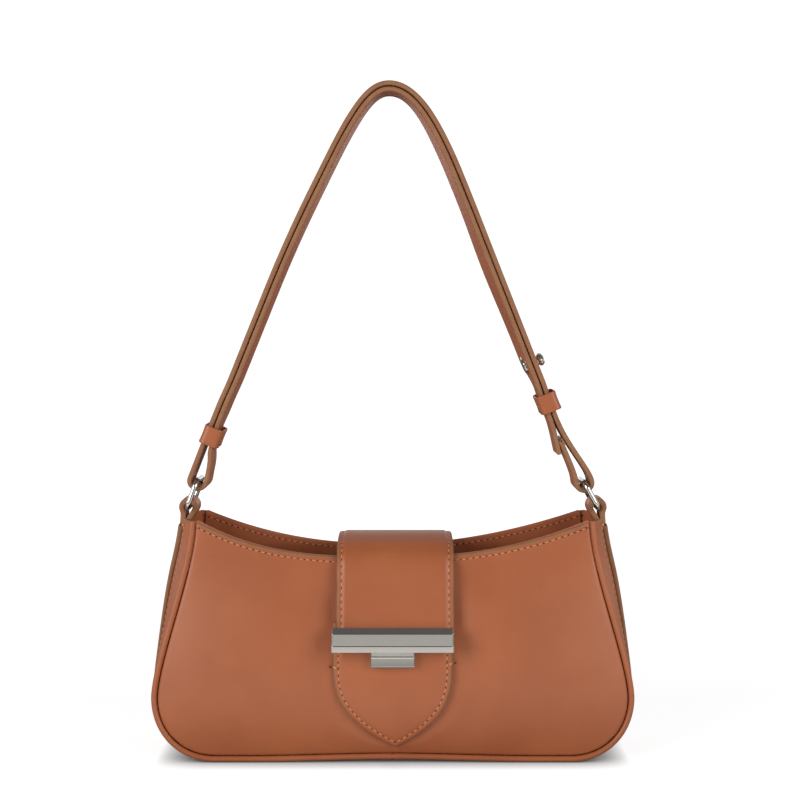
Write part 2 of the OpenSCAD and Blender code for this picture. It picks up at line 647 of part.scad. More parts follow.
// The stud: a rounded head on a flange, with a shank through both layers, held by a domed screw
stud_r = 1.7;
stud_bore_r = 1.1;
flange_t = 0.6;
dome_h = 1.2;
stack = strap_t + strap_gap / 2;
module rounded_head(r, h) translate([0, 0, h / 2]) rotate_extrude()
    polygon([for (a = [-90:15:90]) [r * cos(a), h / 2 * sin(a)]]);
module dome(r, h) rotate_extrude() polygon(concat([[0, 0]], [for (a = [0:15:90]) [r * cos(a), h * sin(a)]]));
module strap_stud() color(nickel) on_right_leg(stud_z) rotate([0, 90, 0]) difference() {
    union() {
        translate([0, 0, -stack]) cylinder(r = stud_r, h = 2 * stack + seat_gap + flange_t);
        translate([0, 0, stack + seat_gap]) cylinder(r = head_d * 0.36, h = flange_t + head_h / 4);
        translate([0, 0, stack + seat_gap + flange_t]) rounded_head(head_d / 2, head_h);
    }
    translate([0, 0, -stack - over]) cylinder(r = stud_bore_r, h = stack + over + strap_t);
}
module strap_stud_screw() color(nickel) on_right_leg(stud_z) rotate([0, 90, 0]) {
    translate([0, 0, -stack - seat_gap - flange_t]) cylinder(d = disc_d, h = flange_t);
    translate([0, 0, -stack - seat_gap - flange_t]) mirror([0, 0, 1]) dome(disc_d / 2, dome_h);
    translate([0, 0, -stack - seat_gap]) cylinder(r = stud_bore_r - seat_gap, h = stack + strap_t / 2);
}

// A keeper: a short loop of leather round both layers
module keeper() {
    t = 2 * stack + 2 * gap;
    w = strap_w + 2 * gap;
    module round_box(a, b, r) {
        square([a - 2 * r, b], center = true);
        square([a, b - 2 * r], center = true);
        for (x = [-1, 1]) for (y = [-1, 1]) translate([x * (a / 2 - r), y * (b / 2 - r)]) circle(r);
    }
    color(leather) linear_extrude(keeper_l, center = true) difference() {
        round_box(t + 2 * keeper_t, w + 2 * keeper_t, keeper_t * 1.4);
        square([t, w], center = true);
    }
}
module keeper_left() on_left_leg(left_keeper_z) keeper();
module keeper_right() on_right_leg(right_keeper_z) keeper();

front_panel();
back_panel();
gusset_left();
gusset_right();
front_piping();
back_piping();
side_strip_left();
side_strip_right();
front_facing();
back_facing();
side_facing_left();
side_facing_right();
front_lining();
back_lining();
gusset_lining();
base_board();
tongue_patch();
catch_plate();
catch_backplate();
catch_rivets();
flap_anchor();
flap();
flap_lining();
clasp_bar();
clasp_magnet();
clasp_backplate();
clasp_rivets();
tab_left();
tab_right();
ring_left();
ring_right();
strap();
strap_stud();
strap_stud_screw();
keeper_left();
keeper_right();
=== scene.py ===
from bisect import bisect_right
from math import atan, atan2, cos, exp, hypot, pi, radians, sin, sqrt, tau

import bmesh
import bpy
import numpy as np
from mathutils import Matrix, Vector


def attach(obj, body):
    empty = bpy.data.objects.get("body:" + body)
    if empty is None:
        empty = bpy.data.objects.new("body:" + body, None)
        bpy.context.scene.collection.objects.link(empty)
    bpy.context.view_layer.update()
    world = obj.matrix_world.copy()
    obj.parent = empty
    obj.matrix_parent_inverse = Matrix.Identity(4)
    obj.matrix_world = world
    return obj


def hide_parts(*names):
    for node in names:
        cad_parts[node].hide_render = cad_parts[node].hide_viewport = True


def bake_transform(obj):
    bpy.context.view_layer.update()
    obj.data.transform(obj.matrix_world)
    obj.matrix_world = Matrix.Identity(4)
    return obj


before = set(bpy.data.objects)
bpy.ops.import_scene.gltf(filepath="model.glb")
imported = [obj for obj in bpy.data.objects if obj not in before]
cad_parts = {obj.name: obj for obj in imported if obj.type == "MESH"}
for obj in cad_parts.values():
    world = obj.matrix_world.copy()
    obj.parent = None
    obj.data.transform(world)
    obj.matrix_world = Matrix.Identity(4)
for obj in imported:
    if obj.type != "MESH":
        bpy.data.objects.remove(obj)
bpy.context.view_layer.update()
MM = 0.001

# Body: the sizes of the solids, except that the belly, the side ridges and the tongue's tip follow the real bag by
# another millimetre
MOUTH_HALF = 108.2
BELLY_HALF = 129.9
BASE_HALF = 98.0
SEAM_Z = 3.8
BELLY_Z = 36.0
CORNER_Z = 133.5
MOUTH_DIP = 19.8
MOUTH_Z = CORNER_Z - MOUTH_DIP
BASE_D = 54.0
MOUTH_D = 43.0
BELLY_OUT = 5.5
SWELL_POWER = 0.75
# The gusset's middle stands out past its seams as a ridge, slightly less at the very top
RIDGE_OUT = 5.3
RIDGE_TOP_IN = 0.4
CORNER_SHARE = 0.4
BASE_SHARE = 0.42
DIP_START_POWER = 1.3
# How sharply the mouth rises to its corners: on the left and on the right in front, and at the back
FRONT_RISE = (3.0, 2.3)
BACK_RISE = (2.3, 1.85)
# The base hangs a little above the table between its corners
BASE_ARCH = 1.5
BASE_ARCH_HALF = 80.0
BASE_ARCH_UP = 24.0

# Leather, lining and seams
PANEL_T = 1.4
FACING_T = 1.2
LINING_T = 0.6
GAP = 0.3
PIPING_R = 1.6
PIPING_PROUD = 0.3
# A panel turns in at its seam: a tight roll, and a wide soft shoulder before it
ROLL_W = 1.8
ROLL_DEPTH = 2.0
SHOULDER_W = 20.0
SHOULDER_DEPTH = 1.0
# How far each half of a panel puffs out between its seam and the flap, and how far it sinks beside the tongue
PUFF = 3.6
PUFF_FROM = 34.0
DENT = 1.2
DENT_IN, DENT_OUT = 8.0, 13.0
STITCH_PITCH = 3.6
STITCH_IN = 2.9
THREAD_R = 0.26
THREAD_SUNK = 0.06
LINE_POINTS = 240
HOLE_R = 0.46
# How far past the seam line a panel's leather goes, and how wide the strip of painted shade along its seam is
SEAM_REACH = 0.4
SEAM_SHADE_W = 0.8
# The width and depth of the rounding under the mouth's edge
MOUTH_ROUND = (2.6, 0.9)
PAINT_W = 1.3

# Flap, tongue and clasp
FLAP_HALF = 32.0
FLAP_T = 1.9
FLAP_LINING_T = 1.3
FLAP_ALL = FLAP_T + FLAP_LINING_T
FLAP_ARCH = 8.7
FLAP_STITCH_IN = 2.7
FLAP_PITCH = 3.8
# The flap lies this much right of the middle
FLAP_SHIFT = 1.4
ANCHOR_H = 33.0
TONGUE_HALF = 32.5
TONGUE_T = 2.2
TONGUE_TIP_Z = 9.8
TONGUE_TURN_Z = 55.0
TONGUE_TOP_Z = 79.0
TONGUE_POWER = 2.65
TONGUE_STITCH_IN = 2.8
TONGUE_SKEW = 1.5
BAR_H, BAR_T, BAR_HALF = 13.0, 6.4, 33.0
BAR_Z = 71.0
CATCH_H, CATCH_T, CATCH_HALF = 12.4, 4.2, 11.9
CATCH_Z = 62.0

# Strap, rings and tabs
STRAP_HALF = 10.0
STRAP_T = 2.7
STRAP_GAP = 0.6
SIDE_STRIP_HALF = 8.0
TAB_HALF = 7.0
TAB_X = 114.45
RING_Z = 139.2
RING_L, RING_W, RING_CORNER = 16.0, 24.4, 4.0
WIRE_R = 1.5
LEFT_LEAN, RIGHT_LEAN = radians(20), radians(29)
TAB_MID_R = 3.8
TAB_T = 3.1
KEEPER_L = 10.5
KEEPER_T = 1.2
KEEPER_R = 1.7
KEEPER_HALF = Vector((STRAP_T + STRAP_GAP / 2 + GAP, STRAP_HALF + GAP))

UP = Vector((0, 1))


# Sums and curves
def mix(a, b, t):
    return a + (b - a) * t


def smooth(t):
    t = min(1.0, max(0.0, t))
    return t * t * (3 - 2 * t)


def bezier(a, b, c, d, t):
    s = 1 - t
    return a * s**3 + b * 3 * s * s * t + c * 3 * s * t * t + d * t**3


def shares(count):
    return [i / count for i in range(count + 1)]


def curve(a, b, c, d, count):
    return [bezier(a, b, c, d, t) for t in shares(count)]


def joining(a, a_way, a_pull, b, b_way, b_pull, count=18):
    """A curve from one place and direction to another."""
    return curve(a, a + a_way * a_pull, b + b_way * b_pull, b, count)


def ray(angle):
    return Vector((cos(angle), sin(angle)))


def fall(distance, width, depth):
    """How far a face has rounded off at that distance from its edge."""
    near = 1 - min(1.0, max(0.0, distance / width))
    return depth * (1 - sqrt(1 - near * near))


def spaced(length, count, fine=(0.15, 0.45, 0.9, 1.5), start=True, end=True):
    """Shares from 0 to 1 in even steps, with close steps beside the ends of that length in millimetres."""
    low = [d / length for d in fine] if start else []
    high = [1 - d / length for d in reversed(fine)] if end else []
    a, b = (low or [0.0])[-1], (high or [1.0])[0]
    return [0.0] * start + low[:-1] + [mix(a, b, t) for t in shares(count)] + high[1:] + [1.0] * end


def left_of(d):
    """The flat direction to the left of another."""
    return Vector((-d.y, d.x)).normalized()


def shifted(path, by):
    """A flat path moved to its left."""
    last = len(path) - 1
    return [p + left_of(path[min(last, i + 1)] - path[max(0, i - 1)]) * by for i, p in enumerate(path)]


class Route:
    """A line of points, read by the share of its length."""

    def __init__(self, points):
        self.points = points
        self.marks = [0.0]
        for a, b in zip(points, points[1:]):
            self.marks.append(self.marks[-1] + (b - a).length)
        self.length = self.marks[-1]

    def at(self, share):
        """The place at that share of the length, and the direction there."""
        reach = min(max(share, 0.0), 1.0) * self.length
        i = min(max(bisect_right(self.marks, reach) - 1, 0), len(self.points) - 2)
        a, b = self.points[i], self.points[i + 1]
        step = self.marks[i + 1] - self.marks[i]
        return a.lerp(b, (reach - self.marks[i]) / step), (b - a) / step


# The bag's outline seen from the front: the seam runs from the base's straight part at 0 to the mouth's corner at 1
BASE_END = Vector((BASE_HALF, SEAM_Z))
BELLY = Vector((BELLY_HALF, BELLY_Z))
CORNER = Vector((MOUTH_HALF, CORNER_Z))
BASE_HANDLE = Vector((mix(BASE_HALF, BELLY_HALF, 0.56), SEAM_Z))
BELLY_LOW_HANDLE = Vector((BELLY_HALF, mix(SEAM_Z, BELLY_Z, 0.41)))
BELLY_HIGH_HANDLE = Vector((mix(BELLY_HALF, MOUTH_HALF, 0.05), mix(BELLY_Z, CORNER_Z, 0.226)))
CORNER_HANDLE = Vector((mix(BELLY_HALF, MOUTH_HALF, 0.965), mix(BELLY_Z, CORNER_Z, 0.708)))


def seam(s):
    if s < CORNER_SHARE:
        return bezier(BASE_END, BASE_HANDLE, BELLY_LOW_HANDLE, BELLY, s / CORNER_SHARE)
    return bezier(BELLY, BELLY_HIGH_HANDLE, CORNER_HANDLE, CORNER, (s - CORNER_SHARE) / (1 - CORNER_SHARE))


def seam_out(s):
    """The way out of the outline."""
    if s <= 0:
        return -UP
    return -left_of(seam(min(1, s + 0.001)) - seam(s - 0.001))


def body_share(z):
    """How high a place is, from 0 at the base's seam to 1 at the lowest point of the mouth."""
    return min(1.0, max(0.0, (z - SEAM_Z) / (MOUTH_Z - SEAM_Z)))


def half_depth(x, z):
    """How far a panel's outer face lies from the middle of the bag."""
    h = (z - SEAM_Z) / (CORNER_Z - SEAM_Z)
    across = max(0.0, 1 - (x / BELLY_HALF) ** 2)
    return mix(BASE_D, MOUTH_D, h) / 2 + BELLY_OUT * sin(pi * body_share(z)**SWELL_POWER) * across


def ridge(z):
    """How far the gusset's ridge stands out at that height."""
    h = (z - BELLY_Z) / (CORNER_Z - BELLY_Z)
    return RIDGE_OUT * smooth(h / 0.7) - RIDGE_TOP_IN * smooth((h - 0.7) / 0.3)


seam_run = [seam(s) + seam_out(s) * SEAM_REACH for s in shares(160)]
seam_points = np.array([(side * p.x, p.y) for p in seam_run for side in (-1, 1)]
                       + [(x, SEAM_Z - SEAM_REACH) for x in np.linspace(-BASE_HALF, BASE_HALF, 160)])


def seam_distance(x, z):
    return float(np.hypot(seam_points[:, 0] - x, seam_points[:, 1] - z).min())


def roll_in(x, z):
    """How far a panel's face turns in beside its seam: a soft shoulder that ends in a tight turn."""
    distance = seam_distance(x, z)
    return fall(distance, ROLL_W, ROLL_DEPTH) + fall(distance, SHOULDER_W, SHOULDER_DEPTH)


def arch_lift(x, z):
    return BASE_ARCH * (1 - smooth(abs(x) / BASE_ARCH_HALF)) * (1 - smooth(z / BASE_ARCH_UP))


def slack(x, z):
    """Slow waves all over a panel, and the puff of each of its halves."""
    bulge = sin(pi * body_share(z))
    fade = bulge * max(0.0, 1 - (x / BELLY_HALF) ** 4)
    waves = (sin(x / 34 + 0.7) * sin(z / 21 + 0.4) + 0.6 * sin(x / 17 - z / 26 + 2.1)
             + 0.4 * sin(x / 11 + z / 13))
    inward = 1 - (1 - min(1.0, seam_distance(x, z) / 60)) ** 2
    return 0.25 * fade * waves + PUFF * bulge * smooth((abs(x) - PUFF_FROM) / 32) * inward


def tongue_half(z):
    if z > TONGUE_TURN_Z:
        return TONGUE_HALF
    return TONGUE_HALF * (1 - ((TONGUE_TURN_Z - z) / (TONGUE_TURN_Z - TONGUE_TIP_Z)) ** TONGUE_POWER)


def dent(x, z):
    """How far the front panel sinks beside the tongue's edge."""
    beside = abs(x) - tongue_half(z)
    near = smooth((beside + DENT_IN) / DENT_IN) if beside < 0 else 1 - smooth(beside / DENT_OUT)
    return DENT * near * smooth((z - 6) / 8) * (1 - smooth((z - 88) / 12))


def panel_at(u, s, rise, reach=0.0):
    """A place on a panel seen from the front as (x, z): u from -1 to 1 across, s along the seam."""
    p = seam(s) + seam_out(s) * reach
    lift = max(0.0, (p.y - BELLY_Z) / (CORNER_Z - BELLY_Z)) ** DIP_START_POWER
    power = mix(rise[0], rise[1], smooth(u * 2 + 0.5))
    return u * p.x, p.y - MOUTH_DIP * lift * (1 - abs(u) ** power)


def front_y(x, z):
    """The front panel's outer face, without its roll and dent."""
    return -half_depth(x, z) - slack(x, z)


# Building pieces
def slab(columns, rows):
    """A closed block of unit size: x across and y along, with its outer face at z 0 and its inner one at 1.
    Columns and rows are counts or lists of shares. Faces of the rim have material 1."""
    xs, ys = (shares(k) if isinstance(k, int) else k for k in (columns, rows))
    bm = bmesh.new()
    uv = bm.loops.layers.uv.new("UVMap")
    bmesh.ops.create_grid(bm, x_segments=len(xs) - 1, y_segments=len(ys) - 1, size=0.5, calc_uvs=True)
    for v in bm.verts:
        v.co = (xs[round((v.co.x + 0.5) * (len(xs) - 1))], ys[round((v.co.y + 0.5) * (len(ys) - 1))], 0)
    for f in bm.faces:
        for corner in f.loops:
            corner[uv].uv = corner.vert.co.xy
    grown = bmesh.ops.extrude_face_region(bm, geom=bm.faces[:])
    bmesh.ops.translate(bm, verts=[g for g in grown["geom"] if isinstance(g, bmesh.types.BMVert)], vec=(0, 0, 1))
    bm.normal_update()
    for f in bm.faces:
        if abs(f.normal.z) < 0.5:
            f.material_index = 1
    return bm


def shaped(bm, place, paint=(0, 0, 0, 0), inside=False, closed=False):
    """Puts every point of a unit block where place(x, y, z) says. Paint gives the shares of the outer face that are
    painted like the rim at the low and high ends of x and of y, and inside paints the inner face too. A closed one
    has its two ends along x joined to a loop."""
    for f in bm.faces:
        x, y, z = f.calc_center_median()
        if (x < paint[0] or 1 - x < paint[1] or y < paint[2] or 1 - y < paint[3]) and (inside or z < 0.5):
            f.material_index = 1
    if closed:
        ends = [f for f in bm.faces if f.calc_center_median().x in (0.0, 1.0)]
        bmesh.ops.delete(bm, geom=ends, context="FACES_ONLY")
    for v in bm.verts:
        v.co = place(*v.co)
    if closed:
        bmesh.ops.remove_doubles(bm, verts=bm.verts, dist=0.001)
    bmesh.ops.recalc_face_normals(bm, faces=bm.faces)
    return bm


def tube(sides, rows, centre, radius):
    """A round closed tube. centre(t) gives its middle and two directions across it."""
    bm = bmesh.new()
    bm.loops.layers.uv.new("UVMap")
    bmesh.ops.create_grid(bm, x_segments=sides, y_segments=rows, size=0.5, calc_uvs=True)
    for v in bm.verts:
        middle, a, b = centre(v.co.y + 0.5)
        turn = tau * (v.co.x + 0.5)
        v.co = middle + (a * cos(turn) + b * sin(turn)) * radius(v.co.y + 0.5)
    bmesh.ops.remove_doubles(bm, verts=bm.verts, dist=0.001)
    bmesh.ops.holes_fill(bm, edges=[e for e in bm.edges if e.is_boundary], sides=0)
    bmesh.ops.recalc_face_normals(bm, faces=bm.faces)
    return bm


def in_scene(name, data):
    made = bpy.data.objects.new(name, data)
    bpy.context.scene.collection.objects.link(made)
    return made


def finished(bm, name, body, materials, replaces=(), mirrored=False, sharp=40):
    """Makes the piece an object in metres. Given a body's name it moves with that body; otherwise its place is baked
    in.
    """
    if mirrored:
        bmesh.ops.scale(bm, verts=bm.verts, vec=(-1, 1, 1))
        bmesh.ops.reverse_faces(bm, faces=bm.faces)
    bmesh.ops.scale(bm, verts=bm.verts, vec=(MM, MM, MM))
    mesh = bpy.data.meshes.new(name)
    bm.to_mesh(mesh)
    bm.free()
    mesh.shade_smooth()
    mesh.set_sharp_from_angle(angle=radians(sharp))
    for m in materials:
        mesh.materials.append(m)
    piece = in_scene(name, mesh)
    if isinstance(body, str):
        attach(piece, body)
    else:
        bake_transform(piece)
    if replaces:
        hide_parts(*replaces)
    return piece


def placed(direction, out, at):
    """A matrix with its X along a direction, its Z outwards, and its origin at a point."""
    x = direction.normalized()
    y = out.cross(x).normalized()
    turn = Matrix((x, y, x.cross(y))).transposed()
    return Matrix.Translation(at) @ turn.to_4x4()


def stitched(name, body, lines, pitch=STITCH_PITCH, thread_r=THREAD_R, thread=None, mirrored=False):
    """Rows of stitches with their needle holes. A line gives, for a share from 0 to 1, a point and the way out."""
    bm = bmesh.new()
    for line in lines:
        samples = [line(t) for t in shares(LINE_POINTS)]
        route = Route([p for p, _ in samples])
        count = max(1, round(route.length / pitch))
        for i in range(count):
            share = (i + 0.5) / count
            at, along = route.at(share)
            out = samples[round(share * LINE_POINTS)][1]
            lay = placed(along, out, at - out * THREAD_SUNK)
            size = Matrix.Diagonal((route.length / count * 0.32, thread_r * 1.15, thread_r, 1))
            bmesh.ops.create_uvsphere(bm, u_segments=6, v_segments=5, radius=1, matrix=lay @ size)
        # Each needle hole is a flat dark disc of painted shade
        for i in range(count + 1):
            at, along = route.at(i / count)
            out = samples[round(i / count * LINE_POINTS)][1]
            lay = placed(along, out, at)
            size = Matrix.Diagonal((HOLE_R * 1.15, HOLE_R, 0.1, 1))
            made = bmesh.ops.create_uvsphere(bm, u_segments=7, v_segments=4, radius=1, matrix=lay @ size)
            for f in {f for v in made["verts"] for f in v.link_faces}:
                f.material_index = 1
    return finished(bm, name, body, [thread or THREAD, NEEDLE_HOLE_SHADE], mirrored=mirrored)


# Materials
def linear(hex_colour):
    """An sRGB hex colour as linear RGBA."""
    channels = [int(hex_colour[i:i + 2], 16) / 255 for i in (1, 3, 5)]
    return [c / 12.92 if c <= 0.04045 else ((c + 0.055) / 1.055) ** 2.4 for c in channels] + [1.0]


def add(tree, kind, inputs, **settings):
    """Adds a shader node with its settings, and gives each input a value or a link. A node stands for its first
    output."""
    made = tree.nodes.new("ShaderNode" + kind)
    for key, value in settings.items():
        setattr(made, key, value)
    for key, value in inputs.items():
        if isinstance(value, bpy.types.Node):
            value = value.outputs[0]
        if isinstance(value, bpy.types.NodeSocket):
            tree.links.new(value, made.inputs[key])
        else:
            made.inputs[key].default_value = value
    return made


def made_of(name, finish, *looks):
    """A material with the shader that a finish draws in its node tree, from the place on the piece."""
    material = bpy.data.materials.new(name)
    material.use_nodes = True
    tree = material.node_tree
    tree.nodes.clear()
    place = add(tree, "TexCoord", {}).outputs["Object"]
    add(tree, "OutputMaterial", {"Surface": finish(tree, place, *looks)})
    return material


def per_mm(size):
    """The texture scale that gives a pattern that size in millimetres."""
    return 1000 / size


def leather(tree, place, base, deep, rough):
    """Aniline-dyed calf, plated smooth: even colour with a slow mottle, fine pores and a broad soft gloss. The pores
    are drawn at about four times their real size so that they show."""
    slow = add(tree, "TexNoise", {"Vector": place, "Scale": per_mm(45), "Detail": 3.0})
    fine = add(tree, "TexNoise", {"Vector": place, "Scale": per_mm(2.2), "Detail": 5.0})
    pores = add(tree, "TexVoronoi", {"Vector": place, "Scale": per_mm(0.75), "Randomness": 1.0})
    shade = add(tree, "MapRange", {"Value": slow, "From Min": 0.3, "From Max": 0.7})
    colour = add(tree, "Mix", {0: shade, 6: linear(base), 7: linear(deep)}, data_type="RGBA")
    gloss = add(tree, "MapRange", {"Value": fine, "To Min": rough - 0.05, "To Max": rough + 0.06})
    skin = add(tree, "Bump", {"Height": pores, "Strength": 0.175, "Distance": 0.05 * MM})
    relief = add(tree, "Bump", {"Height": fine, "Strength": 0.5, "Distance": 0.12 * MM, "Normal": skin})
    return add(tree, "BsdfPrincipled", {"Base Color": colour.outputs[2], "Roughness": gloss, "IOR": 1.5,
                                        "Normal": relief})


def painted_edge(tree, place, base, deep):
    """Acrylic edge paint over cut leather: matt, slightly uneven, with faint streaks of the plies under it."""
    uneven = add(tree, "TexNoise", {"Vector": place, "Scale": per_mm(6), "Detail": 4.0})
    colour = add(tree, "Mix", {0: uneven, 6: linear(base), 7: linear(deep)}, data_type="RGBA")
    relief = add(tree, "Bump", {"Height": uneven, "Strength": 0.4, "Distance": 0.1 * MM})
    return add(tree, "BsdfPrincipled", {"Base Color": colour.outputs[2], "Roughness": 0.6, "IOR": 1.46,
                                        "Normal": relief})


def twill(tree, place, base, deep):
    """Cotton twill lining, drawn at twice its real pitch so that its diagonal shows: matt with a soft fuzz."""
    rows = add(tree, "TexWave", {"Vector": place, "Scale": per_mm(0.8 * tau), "Distortion": 0.6, "Detail": 1.0},
               bands_direction="DIAGONAL").outputs["Fac"]
    colour = add(tree, "Mix", {0: rows, 6: linear(deep), 7: linear(base)}, data_type="RGBA")
    relief = add(tree, "Bump", {"Height": rows, "Strength": 0.5, "Distance": 0.15 * MM})
    return add(tree, "BsdfPrincipled", {"Base Color": colour.outputs[2], "Roughness": 0.9, "Sheen Weight": 0.3,
                                        "Sheen Roughness": 0.5, "Normal": relief})


def twisted_thread(tree, place, base, deep):
    """Bonded polyester thread: a tight twist with a slight gloss."""
    twist = add(tree, "TexNoise", {"Vector": place, "Scale": per_mm(1.1), "Detail": 2.0})
    colour = add(tree, "Mix", {0: twist, 6: linear(base), 7: linear(deep)}, data_type="RGBA")
    return add(tree, "BsdfPrincipled", {"Base Color": colour.outputs[2], "Roughness": 0.55, "Sheen Weight": 0.2})


def plated(tree, place, base, rough):
    """Polished plate over zinc: a mirror with a faint uneven haze where it has been handled."""
    haze = add(tree, "TexNoise", {"Vector": place, "Scale": per_mm(5), "Detail": 5.0})
    gloss = add(tree, "MapRange", {"Value": haze, "From Min": 0.3, "From Max": 0.7, "To Min": rough,
                                   "To Max": rough + 0.04})
    return add(tree, "BsdfPrincipled", {"Base Color": linear(base), "Metallic": 1.0, "Roughness": gloss})


CALF = made_of("smooth_calf_leather", leather, "#AA6039", "#9E5632", 0.4)
FACING_LEATHER = made_of("split_calf_facing", leather, "#AA5E38", "#9C5230", 0.55)
EDGE = made_of("olive_edge_paint", painted_edge, "#9A6E4A", "#875536")
TWILL = made_of("brown_twill_lining", twill, "#6B3A24", "#4C2716")
THREAD = made_of("tan_sewing_thread", twisted_thread, "#DC9A68", "#BE7A4A")
TACK_THREAD = made_of("bar_tack_thread", twisted_thread, "#E8B46C", "#D09048")
# Needle holes and the crease along each seam are dark painted shade, as matt as paint; the board under the base is as
# matt as paint too
NEEDLE_HOLE_SHADE = made_of("needle_hole_shadow", painted_edge, "#4E1B08", "#3A1306")
SEAM_CREASE_SHADE = made_of("painted_seam_crease_shade", painted_edge, "#5A220C", "#461806")
NICKEL = made_of("polished_nickel_plate", plated, "#D6D2CA", 0.08)
STEEL = made_of("plain_steel", plated, "#9A9A9A", 0.35)
BOARD = made_of("pressed_board", painted_edge, "#7A6850", "#6A5840")


# Panels, facings and linings, in front (-1) and behind (1)
PANEL_RUN, FACING_RUN = 150, 28


def panel_place(side, rise, from_share, to_share, depth, thick, reach=(SEAM_REACH, SEAM_REACH), roll=False):
    """A layer of the body: how deep it lies under the panel's face, and how far past the seam it reaches at the base
    and higher up. Only a panel has its edges rolled in."""
    def place(u, v, w):
        s = mix(from_share, to_share, v)
        x, z = panel_at(2 * u - 1, s, rise, mix(reach[0], reach[1], smooth(s / CORNER_SHARE)))
        below = panel_at(2 * u - 1, to_share, rise)[1] - z
        out = half_depth(x, z) + slack(side * x, z) - depth - w * thick
        if roll:
            out -= roll_in(x, z) + (1 - w) * fall(below, *MOUTH_ROUND)
            if side < 0:
                out -= dent(x, z)
        else:
            out += w * fall(below, 1.0, 0.6)
        return Vector((x, side * out, z + arch_lift(x, z)))
    return place


FACING_DEPTH = PANEL_T + 0.05
FACING_FROM, FACING_TO = 0.83, 1.002
LINING_DEPTH = PANEL_T + FACING_T + 2 * GAP
LINING_TO = 0.86
panel_columns = spaced(2 * MOUTH_HALF, 140, (0.2, 0.6, 1.2, 2.0, 3.0))
panel_rows = spaced(PANEL_RUN, 110, (0.12, 0.35, 0.7, 1.2, 1.6, 2.1, 2.8), start=False)
facing_rows = spaced(FACING_RUN, 20, (0.12, 0.35, 0.7, 1.1), start=False)

for name, side, rise in (("front", -1, FRONT_RISE), ("back", 1, BACK_RISE)):
    face = panel_place(side, rise, 0, 1, 0, PANEL_T, roll=True)
    panel = shaped(slab(panel_columns, panel_rows), face, (0, 0, 0, 1.6 / PANEL_RUN))
    # Faces within that width of the seam get painted shade: a dark strip that darkens the crease between panel and
    # piping
    for f in panel.faces:
        middle = f.calc_center_median()
        if seam_distance(middle.x, middle.z - arch_lift(middle.x, middle.z)) < SEAM_SHADE_W:
            f.material_index = 2
    finished(panel, f"{name}_panel_leather", "bag", [CALF, EDGE, SEAM_CREASE_SHADE], [f"{name}_panel"])
    facing = panel_place(side, rise, FACING_FROM, FACING_TO, FACING_DEPTH, FACING_T, (SEAM_REACH * 3, SEAM_REACH * 3))
    finished(shaped(slab(110, facing_rows), facing), f"{name}_facing_leather", "bag",
             [FACING_LEATHER, CALF], [f"{name}_facing"])
    lining = panel_place(side, rise, 0, LINING_TO, LINING_DEPTH, LINING_T, (-1.3, 0.6))
    finished(shaped(slab(80, 50), lining), f"{name}_lining_cloth", "bag",
             [TWILL, TWILL], [f"{name}_lining"])


# The gusset: two halves that meet under the base
GUSSET_LENGTH = 265
GUSSET_TOP_HALF = 21


def gusset_at(v, w, out):
    """A place on the right half: v along it, w from -1 to 1 across, out past the seam."""
    if v < BASE_SHARE:
        s = 0.0
        p = Vector((mix(0.06, BASE_HALF, v / BASE_SHARE), SEAM_Z))
    else:
        s = (v - BASE_SHARE) / (1 - BASE_SHARE)
        p = seam(s)
    n = seam_out(s)
    half = half_depth(p.x, p.y) + PIPING_PROUD - PIPING_R
    side = min(1.0, max(0.0, (abs(w) * half - SIDE_STRIP_HALF - 0.6) / (half - SIDE_STRIP_HALF - 0.6)))
    reach = mix(SEAM_Z, GAP + 2 * PIPING_R, smooth((abs(w) - 0.8) / 0.2)) + ridge(p.y) * (1 - side**1.6) + out
    x, z = p.x + n.x * reach, p.y + n.y * reach
    return Vector((x, w * half, z + arch_lift(x, z)))


def top_dip(across):
    """By which share the gusset's top is lower where the tab goes in."""
    return 0.045 * smooth((13 - abs(across * GUSSET_TOP_HALF)) / 4)


def gusset_place(u, v, w):
    across = 2 * u - 1
    s_top = 1 - top_dip(across) * smooth((v - 0.8) / 0.2)
    return gusset_at(v * s_top, across, -w * PANEL_T - (1 - w) * fall((1 - v) * GUSSET_LENGTH, 1.2, 0.6))


def side_facing_place(u, v, w):
    across = (2 * u - 1) * 0.97
    share = mix(FACING_FROM, 1, v) * (1 - top_dip(across) * v)
    return gusset_at(mix(BASE_SHARE, 1, share), across, -PANEL_T - 0.05 - w * FACING_T)


def gusset_lining_place(u, v, w):
    across = (2 * u - 1) * 0.9
    share = v * (FACING_FROM + 0.02)
    out = -PANEL_T - GAP - w * LINING_T - 2.1 * (1 - smooth(share / CORNER_SHARE))
    return gusset_at(mix(BASE_SHARE, 1, share), across, out)


def base_lining_place(u, v, w):
    x = mix(-BASE_HALF, BASE_HALF, v)
    return Vector((x, (2 * u - 1) * 23, 3.9 + w * LINING_T + arch_lift(x, 0)))


for side in ("right", "left"):
    left = side == "left"
    finished(shaped(slab(40, spaced(GUSSET_LENGTH, 150, start=False)), gusset_place, (0, 0, 0, 0.8 / GUSSET_LENGTH)),
             f"gusset_leather_{side}", "bag", [CALF, EDGE], [f"gusset_{side}"], mirrored=left)
    finished(shaped(slab(24, 20), side_facing_place), f"side_facing_leather_{side}", "bag",
             [FACING_LEATHER, EDGE], [f"side_facing_{side}"], mirrored=left)
    finished(shaped(slab(20, 60), gusset_lining_place), f"gusset_lining_cloth_{side}", "bag",
             [TWILL, TWILL], ["gusset_lining"], mirrored=left)
finished(shaped(slab(20, 60), base_lining_place), "base_lining_cloth", "bag", [TWILL, TWILL],
         ["gusset_lining"])


